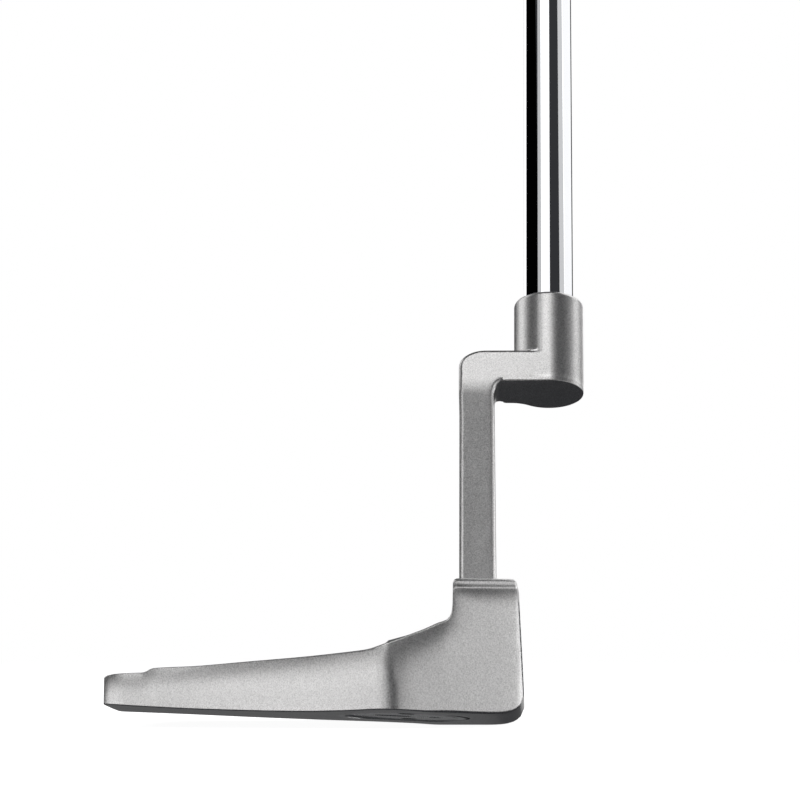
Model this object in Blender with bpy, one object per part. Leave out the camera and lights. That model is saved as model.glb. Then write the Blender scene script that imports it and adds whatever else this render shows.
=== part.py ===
"""Plumber-neck wide-body putter, 34 in long, right handed.

Frame, in metres: the origin is the middle of the flat pad under the sole, +X points at the
target (out of the striking face), +Y runs from toe to heel, +Z is up and the ground is Z = 0.
Numbers in the constants are millimetres. LE is where the leading edge stands on X.
"""
import math

import bmesh
import bpy
from mathutils import Matrix, Vector

MM = 0.001
LE = 11.0

# head, X measured back from the leading edge
HEAD_TOP = 25.25
FACE_TOP_X = -1.2
FACE_TOP_Z = 24.4
FACE_FOOT_Z = 2.9
RIM_R = 1.5
SOLE_R = 0.4
END_R = 0.4
# stations from tail to face: X and Z of the top line, then X of the sole below it
STATIONS = [
    (-71.5, 8.7, -71.5), (-70.9, 9.1, -70.9), (-69.8, 9.3, -69.8), (-68.0, 9.4, -68.0),
    (-64.7, 9.5, -64.7), (-63.0, 10.15, -62.6), (-56.0, 10.5, -56.0), (-46.0, 11.34, -46.0),
    (-37.0, 12.1, -37.0), (-30.0, 12.85, -30.0), (-26.2, 13.35, -26.2), (-23.6, 14.2, -23.8),
    (-21.4, 15.0, -21.6), (-19.2, 15.8, -19.4), (-16.6, 16.8, -17.0), (-14.4, 17.8, -15.0),
    (-13.0, 18.3, -13.4), (-12.2, 19.5, -11.8), (-12.0, 21.0, -10.2), (-11.95, 24.6, -8.6),
    (-11.3, 25.25, -7.2), (-7.6, 25.25, -6.4), (-3.6, 25.25, -4.0), (-1.9, 25.22, -2.0),
    (-1.4, 25.0, -0.7), (FACE_TOP_X, FACE_TOP_Z, -0.1),
]
HALF_WIDTH = [
    (-71.5, 42.8), (-70.8, 42.8), (-69.8, 42.86), (-68.4, 42.98), (-65.6, 43.3), (-62.6, 43.66),
    (-56.0, 44.6),
    (-46.0, 46.6), (-37.0, 48.8), (-30.0, 50.9), (-26.2, 52.1), (-23.8, 52.8), (-21.5, 53.0),
    (-19.4, 52.4), (-17.0, 51.4), (-12.2, 49.1), (-7.2, 46.3), (-4.4, 44.65), (-2.2, 43.15),
    (-0.9, 42.1), (0.0, 41.2),
]
ROCKER = [
    (-72.1, 2.33), (-61.6, 1.93), (-46.0, 1.25), (-37.0, 0.92), (-26.2, 0.55), (-19.4, 0.25),
    (-15.0, 0.0), (-6.4, 0.0), (-4.0, 0.1), (-2.0, 0.55), (-0.7, 1.5), (-0.1, FACE_FOOT_Z),
]
COLUMNS = (0.0, 0.17, 0.34, 0.51, 0.68, 0.84, 1.0)
PAD_HALF = 8.0
CAMBER_SLOPE = [
    (-71.5, 0.0692), (-66.0, 0.0635), (-56.0, 0.0595), (-48.0, 0.0605), (-38.7, 0.0628),
    (-30.0, 0.0700), (-24.0, 0.0785), (-18.0, 0.0815), (-12.0, 0.0830),
]
CAMBER_BLEND = 0.8

# ledge behind the topline and the two pockets either side of the centre bar
LEDGE_HALF = 24.0
LEDGE = [(-24.9, 12.0), (-24.6, 14.0), (-23.8, 14.95), (-18.0, 16.5), (-12.6, 18.6), (-9.0, 18.6), (-9.0, 12.0)]
POCKET_X = (-61.5, -32.0)
POCKET_FLOOR = 5.4
BAR_HALF = 6.0
WING = 8.5
SIGHT_X = (-55.6, -37.4)
SIGHT_HALF = 0.95

# striking face insert
INSERT_W, INSERT_H, INSERT_T = 50.0, 16.4, 2.8
INSERT_Z = 13.4
PAD_T = 0.5
GAP = 0.3
GROOVE_COUNT = 9
GROOVE_PITCH = 1.6

# plumber neck, in its own axes: x forward, q across, s up the shaft line
LIE_TILT = math.radians(20.0)
POST_TILT = math.radians(7.0)
NECK_Y, NECK_Z = 34.0, 61.8
COLLAR_X, COLLAR_R, COLLAR_LEN = 4.6, 6.6, 18.8
BORE_R, BORE_FLOOR = 5.5, 3.0
ARM_H, ARM_FRONT, ARM_BACK = 6.5, -6.5, 4.2
POST_X = (-12.3, -5.75)
POST_FLARE = 0.4
BEND_TOP, BEND_LEN = -0.1, 2.0
FOOT_Z = 25.55
SPIGOT = 11.0

# shaft and grip, distances up the shaft line
CLUB_LEN = 863.6
SHAFT_FOOT = 3.6
TIP_R, BUTT_R, WALL = 4.7, 7.3, 0.6
FIRST_STEP, STEP_PITCH, STEP_COUNT = 250.0, 36.0, 8
GRIP_LEN = 266.0
CAP_T = 4.0

# screwed-in sole weights
PORT_X, PORT_Y = -20.0, 34.0
DISC_R, DISC_T, DISC_SINK = 10.4, 2.1, 0.15
SHANK_R, SHANK_LEN = 6.0, 5.0
WASHER_T = 0.5


def clear_scene():
    for obj in list(bpy.data.objects):
        bpy.data.objects.remove(obj, do_unlink=True)


def make_material(name, colour, metallic, roughness):
    mat = bpy.data.materials.new(name)
    mat.use_nodes = True
    shader = mat.node_tree.nodes["Principled BSDF"]
    shader.inputs["Base Color"].default_value = (*colour, 1.0)
    shader.inputs["Metallic"].default_value = metallic
    shader.inputs["Roughness"].default_value = roughness
    mat.diffuse_color = (*colour, 1.0)
    return mat


def add_object(name, bm, mat=None, matrix=None, parent=None, sharp_deg=32.0):
    """Turn a bmesh built in millimetres into a named object in metres."""
    bmesh.ops.recalc_face_normals(bm, faces=bm.faces)
    bmesh.ops.scale(bm, vec=Vector((MM, MM, MM)), verts=bm.verts)
    mesh = bpy.data.meshes.new(name)
    bm.to_mesh(mesh)
    bm.free()
    mesh.shade_smooth()
    mesh.set_sharp_from_angle(angle=math.radians(sharp_deg))
    obj = bpy.data.objects.new(name, mesh)
    bpy.context.scene.collection.objects.link(obj)
    if parent is not None:
        obj.parent = parent
    elif matrix is not None:
        obj.matrix_world = matrix
    if mat is not None:
        mesh.materials.append(mat)
    return obj


def add_cutter(name, bm, matrix=None):
    obj = add_object(name, bm, matrix=matrix)
    obj.hide_render = True
    obj.display_type = "WIRE"
    return obj


def add_boolean(obj, cutter, operation="DIFFERENCE"):
    mod = obj.modifiers.new(f"{operation.lower()}_{cutter.name}", "BOOLEAN")
    mod.operation = operation
    mod.solver = "EXACT"
    mod.object = cutter


def add_bevel(obj, width_mm, segments=2, angle_deg=35.0):
    mod = obj.modifiers.new("edges", "BEVEL")
    mod.width = width_mm * MM
    mod.segments = segments
    mod.limit_method = "ANGLE"
    mod.angle_limit = math.radians(angle_deg)


def bake(obj):
    """Apply an object's modifiers by taking the mesh that they give."""
    depsgraph = bpy.context.evaluated_depsgraph_get()
    mesh = bpy.data.meshes.new_from_object(obj.evaluated_get(depsgraph))
    obj.modifiers.clear()
    obj.data = mesh


def table(rows, x):
    """Value at x on the line through the rows' points."""
    if x <= rows[0][0]:
        return rows[0][1]
    for (x0, v0), (x1, v1) in zip(rows, rows[1:]):
        if x <= x1:
            return v0 + (v1 - v0) * (x - x0) / (x1 - x0)
    return rows[-1][1]


def camber(x, y):
    """Rise of the sole to the sides of its pad: nearly straight slopes eased into the flat."""
    out = max(0.0, abs(y) - PAD_HALF) * table(CAMBER_SLOPE, x)
    return math.hypot(out, CAMBER_BLEND) - CAMBER_BLEND


def sole_z(x, y):
    return table(ROCKER, x) + camber(x, y)


def head_section(station):
    """One closed loop around the head: (x, y, z) points, starting at the top middle."""
    top_x, top_z, foot_x = station
    foot_z = table(ROCKER, foot_x)
    lean = (top_x - foot_x) / (top_z - foot_z)

    def at(z):
        return foot_x + lean * (z - foot_z)

    arc = [math.radians(a) for a in (0, 30, 60, 90)]
    half = []
    reach = table(HALF_WIDTH, top_x) - RIM_R
    half += [(top_x, reach * t, top_z) for t in COLUMNS[:-1]]
    for a in arc:
        z = top_z - RIM_R * (1 - math.cos(a))
        x = at(z)
        half.append((x, table(HALF_WIDTH, x) - RIM_R * (1 - math.sin(a)), z))
    low = foot_z + camber(foot_x, table(HALF_WIDTH, foot_x))
    middle = (top_z - RIM_R + low + SOLE_R) / 2
    half.append((at(middle), table(HALF_WIDTH, at(middle)), middle))
    for a in reversed(arc):
        z = low + SOLE_R * (1 - math.cos(a))
        x = at(z)
        half.append((x, table(HALF_WIDTH, x) - SOLE_R * (1 - math.sin(a)), z))
    reach = half[-1][1]
    for t in reversed(COLUMNS[:-1]):
        y = PAD_HALF if t == COLUMNS[1] else reach * t
        z = foot_z + camber(foot_x, y)
        half.append((at(z), y, z))
    mirrored = [(x, -y, z) for x, y, z in half[1:-1]]
    return half + mirrored[::-1]


def round_end(loop, radius, direction, steps=2):
    """Loops that shrink in from an end loop to round its rim."""
    zs = [p[2] for p in loop]
    mid, tall = (max(zs) + min(zs)) / 2, (max(zs) - min(zs)) / 2
    wide = max(p[1] for p in loop)
    loops = []
    for k in range(1, steps + 1):
        a = math.radians(90) * k / steps
        inset, ahead = radius * (1 - math.cos(a)), radius * math.sin(a)
        squeeze_y, squeeze_z = 1 - inset / wide, 1 - inset / tall
        loops.append([(x + direction * ahead, y * squeeze_y, mid + (z - mid) * squeeze_z) for x, y, z in loop])
    return loops


def loft(loops):
    """Skin closed loops of equal count and cap both ends."""
    bm = bmesh.new()
    rings = [[bm.verts.new(p) for p in loop] for loop in loops]
    count = len(rings[0])
    for low, high in zip(rings, rings[1:]):
        for i in range(count):
            j = (i + 1) % count
            bm.faces.new((low[i], low[j], high[j], high[i]))
    bm.faces.new(rings[0][::-1])
    bm.faces.new(rings[-1])
    return bm


def prism(outline, low, high, axis="Z"):
    """Extrude a closed outline between two heights along Z, or between two Y values."""
    if axis == "Z":
        return loft([[(a, b, low) for a, b in outline], [(a, b, high) for a, b in outline]])
    return loft([[(a, low, b) for a, b in outline], [(a, high, b) for a, b in outline]])


def rounded_outline(corners, radius, steps=4):
    """Round each convex corner of a counter-clockwise outline."""
    out = []
    count = len(corners)
    for i in range(count):
        here = Vector(corners[i])
        to_last = (Vector(corners[i - 1]) - here).normalized()
        to_next = (Vector(corners[(i + 1) % count]) - here).normalized()
        half = to_last.angle(to_next) / 2
        centre = here + (to_last + to_next).normalized() * (radius / math.sin(half))
        start = here + to_last * (radius / math.tan(half)) - centre
        end = here + to_next * (radius / math.tan(half)) - centre
        sweep = start.angle_signed(end)
        for k in range(steps + 1):
            turned = start.copy()
            turned.rotate(Matrix.Rotation(-sweep * k / steps, 2))
            out.append(tuple(centre + turned))
    return out


def lathe(profile, segments):
    """Turn (radius, height) points about Z. A profile that closes on itself makes a ring."""
    closed = profile[0] == profile[-1]
    points = profile[:-1] if closed else profile
    bm = bmesh.new()
    rings = []
    for r, z in points:
        if r == 0:
            rings.append([bm.verts.new((0, 0, z))])
            continue
        turn = [2 * math.pi * i / segments for i in range(segments)]
        rings.append([bm.verts.new((r * math.cos(a), r * math.sin(a), z)) for a in turn])
    pairs = list(zip(rings, rings[1:]))
    if closed:
        pairs.append((rings[-1], rings[0]))
    for low, high in pairs:
        for i in range(segments):
            j = (i + 1) % segments
            quad = [low[i % len(low)], low[j % len(low)], high[j % len(high)], high[i % len(high)]]
            bm.faces.new(list(dict.fromkeys(quad)))
    return bm


def place(x, y, z, z_axis, x_axis=(1, 0, 0)):
    """A frame in metres at a point given in millimetres, with its Z and X axes."""
    up = Vector(z_axis).normalized()
    side = up.cross(Vector(x_axis)).normalized()
    ahead = side.cross(up)
    turn = Matrix((ahead, side, up)).transposed().to_4x4()
    return Matrix.Translation(Vector((x, y, z)) * MM) @ turn


# ---------------------------------------------------------------- head

def make_head(mat):
    loops = [head_section(s) for s in STATIONS]
    tail = round_end(loops[0], END_R, -1.0)
    tail = [[(x + END_R, y, z) for x, y, z in loop] for loop in tail]
    body = loft([[(x + LE, y, z) for x, y, z in loop] for loop in tail[::-1] + loops])
    head = add_object("head_body", body, mat)
    ledge = add_cutter("cut_ledge", prism([(x + LE, z) for x, z in LEDGE], -LEDGE_HALF, LEDGE_HALF, "Y"))
    add_boolean(head, ledge, "UNION")
    for side in (-1, 1):
        rear, front = POCKET_X
        rear_y = table(HALF_WIDTH, rear) - WING
        front_y = table(HALF_WIDTH, front) - WING
        corners = [(rear + LE, BAR_HALF), (front + LE, BAR_HALF), (front + LE, front_y), (rear + LE, rear_y)]
        outline = rounded_outline(corners, 3.5)
        outline = [(x, side * y) for x, y in outline]
        pocket = add_cutter(f"cut_pocket_{'toe' if side < 0 else 'heel'}", prism(outline, POCKET_FLOOR, 40.0))
        add_boolean(head, pocket)
    add_boolean(head, add_cutter("cut_insert", insert_block(GAP, INSERT_T + PAD_T + 2 * GAP, 3.0), face_frame()))
    for name, frame in port_frames().items():
        port = [
            (0.0, -SHANK_LEN - DISC_T - 1.4), (SHANK_R + 0.35, -SHANK_LEN - DISC_T - 1.4),
            (SHANK_R + 0.35, -DISC_T - WASHER_T - DISC_SINK - 2 * GAP),
            (DISC_R + GAP, -DISC_T - WASHER_T - DISC_SINK - 2 * GAP), (DISC_R + GAP, 4.0), (0.0, 4.0),
        ]
        add_boolean(head, add_cutter(f"cut_port_{name}", lathe(port, 32), frame))
    add_boolean(head, add_cutter("cut_sight", sight_block(0.0, -0.9, 3.0)))
    add_boolean(head, add_cutter("cut_socket", spigot_mesh(GAP, FOOT_Z + 6.0)))
    return head


def sight_block(inset, low, high):
    """The sight line's slot in the sloping bar, or the paint in it, between two depths."""
    rear, front, half = SIGHT_X[0] + inset, SIGHT_X[1] - inset, SIGHT_HALF - inset
    outline = rounded_outline([(rear, -half), (front, -half), (front, half), (rear, half)], half * 0.9, 3)
    line = [(x, z) for x, z, foot in STATIONS if SIGHT_X[0] - 1 <= x <= SIGHT_X[1] + 1]
    return loft([[(x + LE, y, table(line, x) + h) for x, y in outline] for h in (low, high)])


def face_frame():
    """Frame on the striking face: Z out of the face, X towards the heel."""
    foot_x = STATIONS[-1][2]
    run, rise = FACE_TOP_X - foot_x, FACE_TOP_Z - FACE_FOOT_Z
    lean = math.atan2(-run, rise)
    x = foot_x + run * (INSERT_Z - FACE_FOOT_Z) / rise
    return place(LE + x, 0.0, INSERT_Z, (math.cos(lean), 0.0, math.sin(lean)), (0, 1, 0))


def insert_block(grow, depth, proud):
    half_w, half_h = INSERT_W / 2 + grow, INSERT_H / 2 + grow
    corners = [(-half_w, -half_h), (half_w, -half_h), (half_w, half_h), (-half_w, half_h)]
    return prism(rounded_outline(corners, 5.0 + grow, 5), -depth, proud)


def port_frames():
    """Frame at each sole weight: Z straight out of the sole there."""
    frames = {}
    for name, y in (("toe", -PORT_Y), ("heel", PORT_Y)):
        step = 0.5
        slope_x = (sole_z(PORT_X + step, y) - sole_z(PORT_X - step, y)) / (2 * step)
        slope_y = (sole_z(PORT_X, y + step) - sole_z(PORT_X, y - step)) / (2 * step)
        frames[name] = place(LE + PORT_X, y, sole_z(PORT_X, y), (slope_x, slope_y, -1.0))
    return frames


# ---------------------------------------------------------------- neck

def neck_point(x, q, s):
    """Carry a point from the neck's straight axes onto its bent line."""
    tilt = LIE_TILT
    y, z = NECK_Y, NECK_Z
    steps = 10
    if s >= BEND_TOP:
        y += s * math.sin(tilt)
        z += s * math.cos(tilt)
    else:
        y += BEND_TOP * math.sin(tilt)
        z += BEND_TOP * math.cos(tilt)
        left = BEND_TOP - s
        for k in range(steps):
            part = min(left, BEND_LEN) / steps
            bend = (k + 0.5) / steps * min(left, BEND_LEN) / BEND_LEN
            tilt = LIE_TILT + (POST_TILT - LIE_TILT) * bend
            y -= part * math.sin(tilt)
            z -= part * math.cos(tilt)
        tilt = LIE_TILT + (POST_TILT - LIE_TILT) * min(left, BEND_LEN) / BEND_LEN
        beyond = max(0.0, left - BEND_LEN)
        y -= beyond * math.sin(tilt)
        z -= beyond * math.cos(tilt)
    return x + LE, y + q * math.cos(tilt), z - q * math.sin(tilt)


def spigot_mesh(grow, top_z):
    """The tongue below the post, in world millimetres, from its foot up to a height."""
    x_mid = (POST_X[0] + POST_X[1]) / 2
    q_mid = (ARM_FRONT + ARM_BACK) / 2
    half_x, half_q = 2.3 + grow, 3.6 + grow
    low = foot_s() - SPIGOT - grow
    high = low + (top_z - FOOT_Z + SPIGOT + grow) / math.cos(POST_TILT)
    outline = rounded_outline([(-half_x, -half_q), (half_x, -half_q), (half_x, half_q), (-half_x, half_q)], 1.0, 2)
    loops = [[neck_point(x_mid + x, q_mid + q, s) for x, q in outline] for s in (low, high)]
    return loft(loops)


def foot_s():
    """Distance along the neck line at which the post's middle reaches the head."""
    s = BEND_TOP - BEND_LEN
    q_mid = (ARM_FRONT + ARM_BACK) / 2
    gap = neck_point(0.0, q_mid, s)[2] - FOOT_Z
    return s - gap / math.cos(POST_TILT)


def make_neck(mat):
    low = foot_s() - 3.0
    wide_out, high_out, r_in = 5.0, 3.4, 2.5
    left, right = POST_X
    outer = left - 0.4
    arm = [(left, low), (right + POST_FLARE, low), (right, -r_in)]
    turn = [math.radians(a) for a in (30, 60, 90)]
    arm += [(right + r_in * (1 - math.cos(a)), -r_in + r_in * math.sin(a)) for a in turn]
    arm += [(COLLAR_X, 0.0), (COLLAR_X, ARM_H), (outer + wide_out, ARM_H)]
    turn = [math.radians(a) for a in (18, 36, 54, 72, 90)]
    arm += [(outer + wide_out * (1 - math.sin(a)), ARM_H - high_out * (1 - math.cos(a))) for a in turn]
    arm += [(outer, -1.0), (left, -5.0)]
    neck = add_object("plumber_neck", prism(arm, ARM_FRONT, ARM_BACK, "Y"), mat)
    add_bevel(neck, 0.8)
    collar = [
        (0.0, 0.0), (COLLAR_R - 0.3, 0.0), (COLLAR_R, 0.3), (COLLAR_R, COLLAR_LEN - 1.0),
        (COLLAR_R - 0.35, COLLAR_LEN - 0.25), (COLLAR_R - 0.9, COLLAR_LEN), (0.0, COLLAR_LEN),
    ]
    upright = Matrix.Translation((COLLAR_X * MM, 0, 0))
    add_boolean(neck, add_cutter("cut_collar", lathe(collar, 40), upright), "UNION")
    bore = [(0.0, BORE_FLOOR), (BORE_R, BORE_FLOOR), (BORE_R, COLLAR_LEN + 5), (0.0, COLLAR_LEN + 5)]
    add_boolean(neck, add_cutter("cut_bore", lathe(bore, 40), upright))
    bake(neck)
    bm = bmesh.new()
    bm.from_mesh(neck.data)
    for cut in [BEND_TOP - BEND_LEN * k / 5 for k in range(6)]:
        geom = bm.verts[:] + bm.edges[:] + bm.faces[:]
        bmesh.ops.bisect_plane(bm, geom=geom, plane_co=(0, 0, cut * MM), plane_no=(0, 0, 1))
    for vert in bm.verts:
        x, q, s = vert.co / MM
        vert.co = Vector(neck_point(x, q, s)) * MM
    bm.to_mesh(neck.data)
    bm.free()
    floor = prism([(-40, -10), (40, -10), (40, 80), (-40, 80)], 0.0, FOOT_Z)
    add_boolean(neck, add_cutter("cut_foot", floor))
    add_boolean(neck, add_cutter("cut_spigot", spigot_mesh(0.0, FOOT_Z + 5.0)), "UNION")
    return neck


def shaft_frame(s):
    """Frame on the shaft line at a distance up it, Z along the shaft and X forward."""
    x, y, z = neck_point(COLLAR_X, 0.0, s)
    return place(x, y, z, (0.0, math.sin(LIE_TILT), math.cos(LIE_TILT)))


# ---------------------------------------------------------------- shaft and grip

def shaft_radius(s):
    steps = max(0, min(STEP_COUNT, int((s - FIRST_STEP) // STEP_PITCH) + 1)) if s >= FIRST_STEP else 0
    return TIP_R + (BUTT_R - TIP_R) * steps / STEP_COUNT


def make_shaft(mat):
    top = butt_s() - CAP_T
    outer = [(TIP_R - 0.4, SHAFT_FOOT), (TIP_R, SHAFT_FOOT + 0.6)]
    for k in range(STEP_COUNT):
        s = FIRST_STEP + STEP_PITCH * k
        outer += [(shaft_radius(s - 1.0), s - 1.2), (shaft_radius(s), s)]
    outer += [(BUTT_R, top)]
    last = FIRST_STEP + STEP_PITCH * STEP_COUNT
    inner = [(BUTT_R - WALL, top), (BUTT_R - WALL, last), (TIP_R - WALL, FIRST_STEP), (TIP_R - WALL, SHAFT_FOOT)]
    profile = outer + inner
    return add_object("shaft", lathe(profile + profile[:1], 32), mat, shaft_frame(0.0))


def butt_s():
    return CLUB_LEN - NECK_Z / math.cos(LIE_TILT)


def grip_section(s, inset, count=32):
    """Pistol grip outline at a distance up the shaft: flat towards -q, full behind."""
    t = (s - (butt_s() - GRIP_LEN)) / GRIP_LEN
    half = 10.7 + 2.9 * math.sin(min(1.0, t / 0.8) * math.pi / 2)
    back = 10.7 + 2.4 * t + 4.6 * math.exp(-((t - 0.9) / 0.17) ** 2)
    front = 10.3 + 1.2 * t
    points = []
    for k in range(count):
        a = 2 * math.pi * k / count
        c, d = math.cos(a), math.sin(a)
        reach = back if d > 0 else front
        if d < 0:
            d = -(1.0 - (1.0 + d) ** 1.7)
        points.append(((half - inset) * c, (reach - inset) * d, s))
    return points


def make_grip(mats):
    low, top = butt_s() - GRIP_LEN, butt_s() - CAP_T
    stops = [low + (top - low) * k / 12 for k in range(13)]
    frame = shaft_frame(0.0)
    turn = [2 * math.pi * k / 32 for k in range(32)]
    hole = [[(8.1 * math.cos(a), 8.1 * math.sin(a), s) for a in turn] for s in (stops[-1], stops[0])]
    wrap = [grip_section(s, 0.0) for s in stops] + [grip_section(s, 1.2) for s in stops[::-1]]
    core = [grip_section(s, 1.5) for s in stops] + hole
    for name, loops in (("grip_wrap", wrap), ("grip_underlisting", core)):
        bm = bmesh.new()
        rings = [[bm.verts.new(p) for p in loop] for loop in loops]
        for one, two in zip(rings, rings[1:] + rings[:1]):
            for i in range(32):
                j = (i + 1) % 32
                bm.faces.new((one[i], one[j], two[j], two[i]))
        add_object(name, bm, mats[name], frame)
    tape = [(7.6, low + 2.0), (7.8, low + 2.0), (7.8, top - 1.0), (7.6, top - 1.0), (7.6, low + 2.0)]
    add_object("grip_tape", lathe(tape, 32), mats["grip_tape"], frame)
    rows = [(top + GAP, 0.2), (butt_s() - 1.2, 0.2), (butt_s(), 1.4)]
    cap_loops = [[(x, q, height) for x, q, s in grip_section(top, inset)] for height, inset in rows]
    cap = add_object("grip_end_cap", loft(cap_loops), mats["grip_end_cap"], frame)
    vent = add_cutter("cut_vent", lathe([(0.0, top - 5), (1.3, top - 5), (1.3, top + 9), (0.0, top + 9)], 12), frame)
    add_boolean(cap, vent)


# ---------------------------------------------------------------- small pieces

def make_insert(mats):
    frame = face_frame()
    insert = add_object("face_insert", insert_block(0.0, INSERT_T, 0.0), mats["face_insert"], frame)
    for k in range(GROOVE_COUNT):
        z = (k - (GROOVE_COUNT - 1) / 2) * GROOVE_PITCH
        half = INSERT_W / 2 - 3.5
        ridge = [(-half, z - 0.35), (half, z - 0.35), (half, z + 0.35), (-half, z + 0.35)]
        add_boolean(insert, add_cutter(f"cut_groove_{k}", prism(ridge, -0.4, 1.0), frame))
    pad = insert_block(-0.6, INSERT_T + GAP + PAD_T, -INSERT_T - GAP)
    add_object("insert_damping_pad", pad, mats["insert_damping_pad"], frame)


def make_weight(side, frame, mats):
    """A washer that slides out and a disc that screws out, both on the port's axis."""
    pivot = bpy.data.objects.new(f"{side}_weight_axis", None)
    pivot.matrix_world = frame
    bpy.context.scene.collection.objects.link(pivot)
    face = -DISC_SINK
    under = face - DISC_T
    disc = [
        (0.0, under - SHANK_LEN), (SHANK_R - 0.8, under - SHANK_LEN), (SHANK_R, under - SHANK_LEN + 0.8),
        (SHANK_R, under), (DISC_R - 0.2, under), (DISC_R, under + 0.2), (DISC_R, face - 0.4),
        (DISC_R - 0.4, face), (0.0, face),
    ]
    weight = add_object(f"{side}_sole_weight", lathe(disc, 32), mats["sole_weight"], parent=pivot)
    for k, y in enumerate((-6.6, 6.6)):
        hole = [(0.0, face - 1.6), (1.25, face - 1.6), (1.25, face + 1.0), (0.0, face + 1.0)]
        spot = frame @ Matrix.Translation((0, y * MM, 0))
        add_boolean(weight, add_cutter(f"cut_{side}_spanner_{k}", lathe(hole, 16), spot))
    bar = rounded_outline([(-5.3, -0.9), (0.2, -0.9), (0.2, 0.9), (-5.3, 0.9)], 0.8, 3)
    grown = rounded_outline([(-5.6, -1.2), (0.5, -1.2), (0.5, 1.2), (-5.6, 1.2)], 1.1, 3)
    add_boolean(weight, add_cutter(f"cut_{side}_bar", prism(grown, face - 1.0, face + 1.0), frame))
    add_object(f"{side}_weight_bar", prism(bar, face - 0.7, face - 0.05), mats["weight_mark"], parent=pivot)
    spot = frame @ Matrix.Translation((4.7 * MM, 0, 0))
    hole = [(0.0, face - 1.0), (0.95, face - 1.0), (0.95, face + 1.0), (0.0, face + 1.0)]
    add_boolean(weight, add_cutter(f"cut_{side}_dot", lathe(hole, 16), spot))
    dot = lathe([(0.0, face - 0.7), (0.65, face - 0.7), (0.65, face - 0.05), (0.0, face - 0.05)], 16)
    bmesh.ops.translate(dot, vec=(4.7, 0, 0), verts=dot.verts)
    add_object(f"{side}_weight_dot", dot, mats["weight_mark"], parent=pivot)
    high, low = under - GAP, under - GAP - WASHER_T
    ring = [(SHANK_R + 0.7, low), (DISC_R - 0.4, low), (DISC_R - 0.4, high), (SHANK_R + 0.7, high)]
    add_object(f"{side}_weight_washer", lathe(ring + ring[:1], 32), mats["weight_washer"], parent=pivot)


def make_small_tubes(mats):
    frame = shaft_frame(0.0)
    sleeve = [(4.95, 3.8), (5.2, 3.8), (5.2, COLLAR_LEN - 0.2), (4.95, COLLAR_LEN - 0.2), (4.95, 3.8)]
    add_object("shaft_epoxy", lathe(sleeve, 32), mats["shaft_epoxy"], frame)
    plug = [(0.0, 5.0), (3.4, 5.0), (3.4, 17.0), (0.0, 17.0)]
    add_object("shaft_tip_plug", lathe(plug, 20), mats["shaft_tip_plug"], frame)
    low, high = FIRST_STEP + 5.2 * STEP_PITCH, FIRST_STEP + 5.9 * STEP_PITCH
    r = shaft_radius(low)
    band = [(r + 0.3, low), (r + 0.5, low), (r + 0.5, high), (r + 0.3, high), (r + 0.3, low)]
    add_object("shaft_band", lathe(band, 32), mats["shaft_band"], frame)


def main():
    clear_scene()
    mats = {
        "steel": make_material("satin_steel", (0.58, 0.57, 0.56), 1.0, 0.38),
        "chrome": make_material("shaft_chrome", (0.80, 0.81, 0.83), 1.0, 0.06),
        "face_insert": make_material("insert_polymer", (0.10, 0.11, 0.13), 0.0, 0.45),
        "insert_damping_pad": make_material("damping_pad", (0.05, 0.05, 0.05), 0.0, 0.8),
        "sight_line": make_material("sight_paint", (0.02, 0.02, 0.02), 0.0, 0.5),
        "sole_weight": make_material("weight_steel", (0.50, 0.50, 0.50), 1.0, 0.30),
        "weight_mark": make_material("mark_blue", (0.02, 0.04, 0.16), 0.0, 0.35),
        "weight_washer": make_material("washer_nylon", (0.80, 0.80, 0.76), 0.0, 0.5),
        "shaft_epoxy": make_material("epoxy", (0.35, 0.30, 0.20), 0.0, 0.4),
        "shaft_tip_plug": make_material("plug_brass", (0.72, 0.55, 0.25), 1.0, 0.4),
        "shaft_band": make_material("band_film", (0.70, 0.70, 0.72), 0.0, 0.4),
        "grip_tape": make_material("tape_paper", (0.85, 0.82, 0.72), 0.0, 0.8),
        "grip_underlisting": make_material("eva_foam", (0.10, 0.10, 0.11), 0.0, 0.9),
        "grip_wrap": make_material("grip_rubber", (0.03, 0.03, 0.035), 0.0, 0.75),
        "grip_end_cap": make_material("cap_rubber", (0.02, 0.02, 0.02), 0.0, 0.6),
    }
    make_head(mats["steel"])
    add_object("sight_line", sight_block(GAP, -0.6, -0.1), mats["sight_line"])
    make_insert(mats)
    for side, frame in port_frames().items():
        make_weight(side, frame, mats)
    make_neck(mats["steel"])
    make_shaft(mats["chrome"])
    make_small_tubes(mats)
    make_grip(mats)


main()
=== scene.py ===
"""Looks for the wide-body plumber-neck putter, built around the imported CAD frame.

Frame: metres, origin on the flat pad under the sole, +X towards the target, +Y from toe to heel,
+Z up. Shapes are worked out in millimetres and scaled once, when a mesh is made.
"""
import math

import bmesh
import bpy
from mathutils import Matrix, Vector


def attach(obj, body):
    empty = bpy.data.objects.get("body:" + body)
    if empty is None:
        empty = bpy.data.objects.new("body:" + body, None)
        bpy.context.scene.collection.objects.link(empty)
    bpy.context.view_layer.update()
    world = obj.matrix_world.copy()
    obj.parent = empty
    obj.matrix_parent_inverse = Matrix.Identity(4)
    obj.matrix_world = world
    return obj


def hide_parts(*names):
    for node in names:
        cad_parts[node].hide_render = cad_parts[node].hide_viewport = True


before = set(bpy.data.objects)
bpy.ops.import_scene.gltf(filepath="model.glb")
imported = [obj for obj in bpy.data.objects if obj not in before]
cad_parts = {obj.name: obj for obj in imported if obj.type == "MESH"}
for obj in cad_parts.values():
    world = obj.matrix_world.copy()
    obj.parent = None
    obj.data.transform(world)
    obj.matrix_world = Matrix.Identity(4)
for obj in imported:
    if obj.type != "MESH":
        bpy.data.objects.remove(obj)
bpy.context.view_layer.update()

MM = 0.001
# the leading edge's place along X, and the clear gap between neighbours
LE = 11.0
GAP = 0.3
# how far the shaft and the neck's post lean from upright
LIE_TILT = math.radians(20.0)
POST_TILT = math.radians(7.0)
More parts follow.
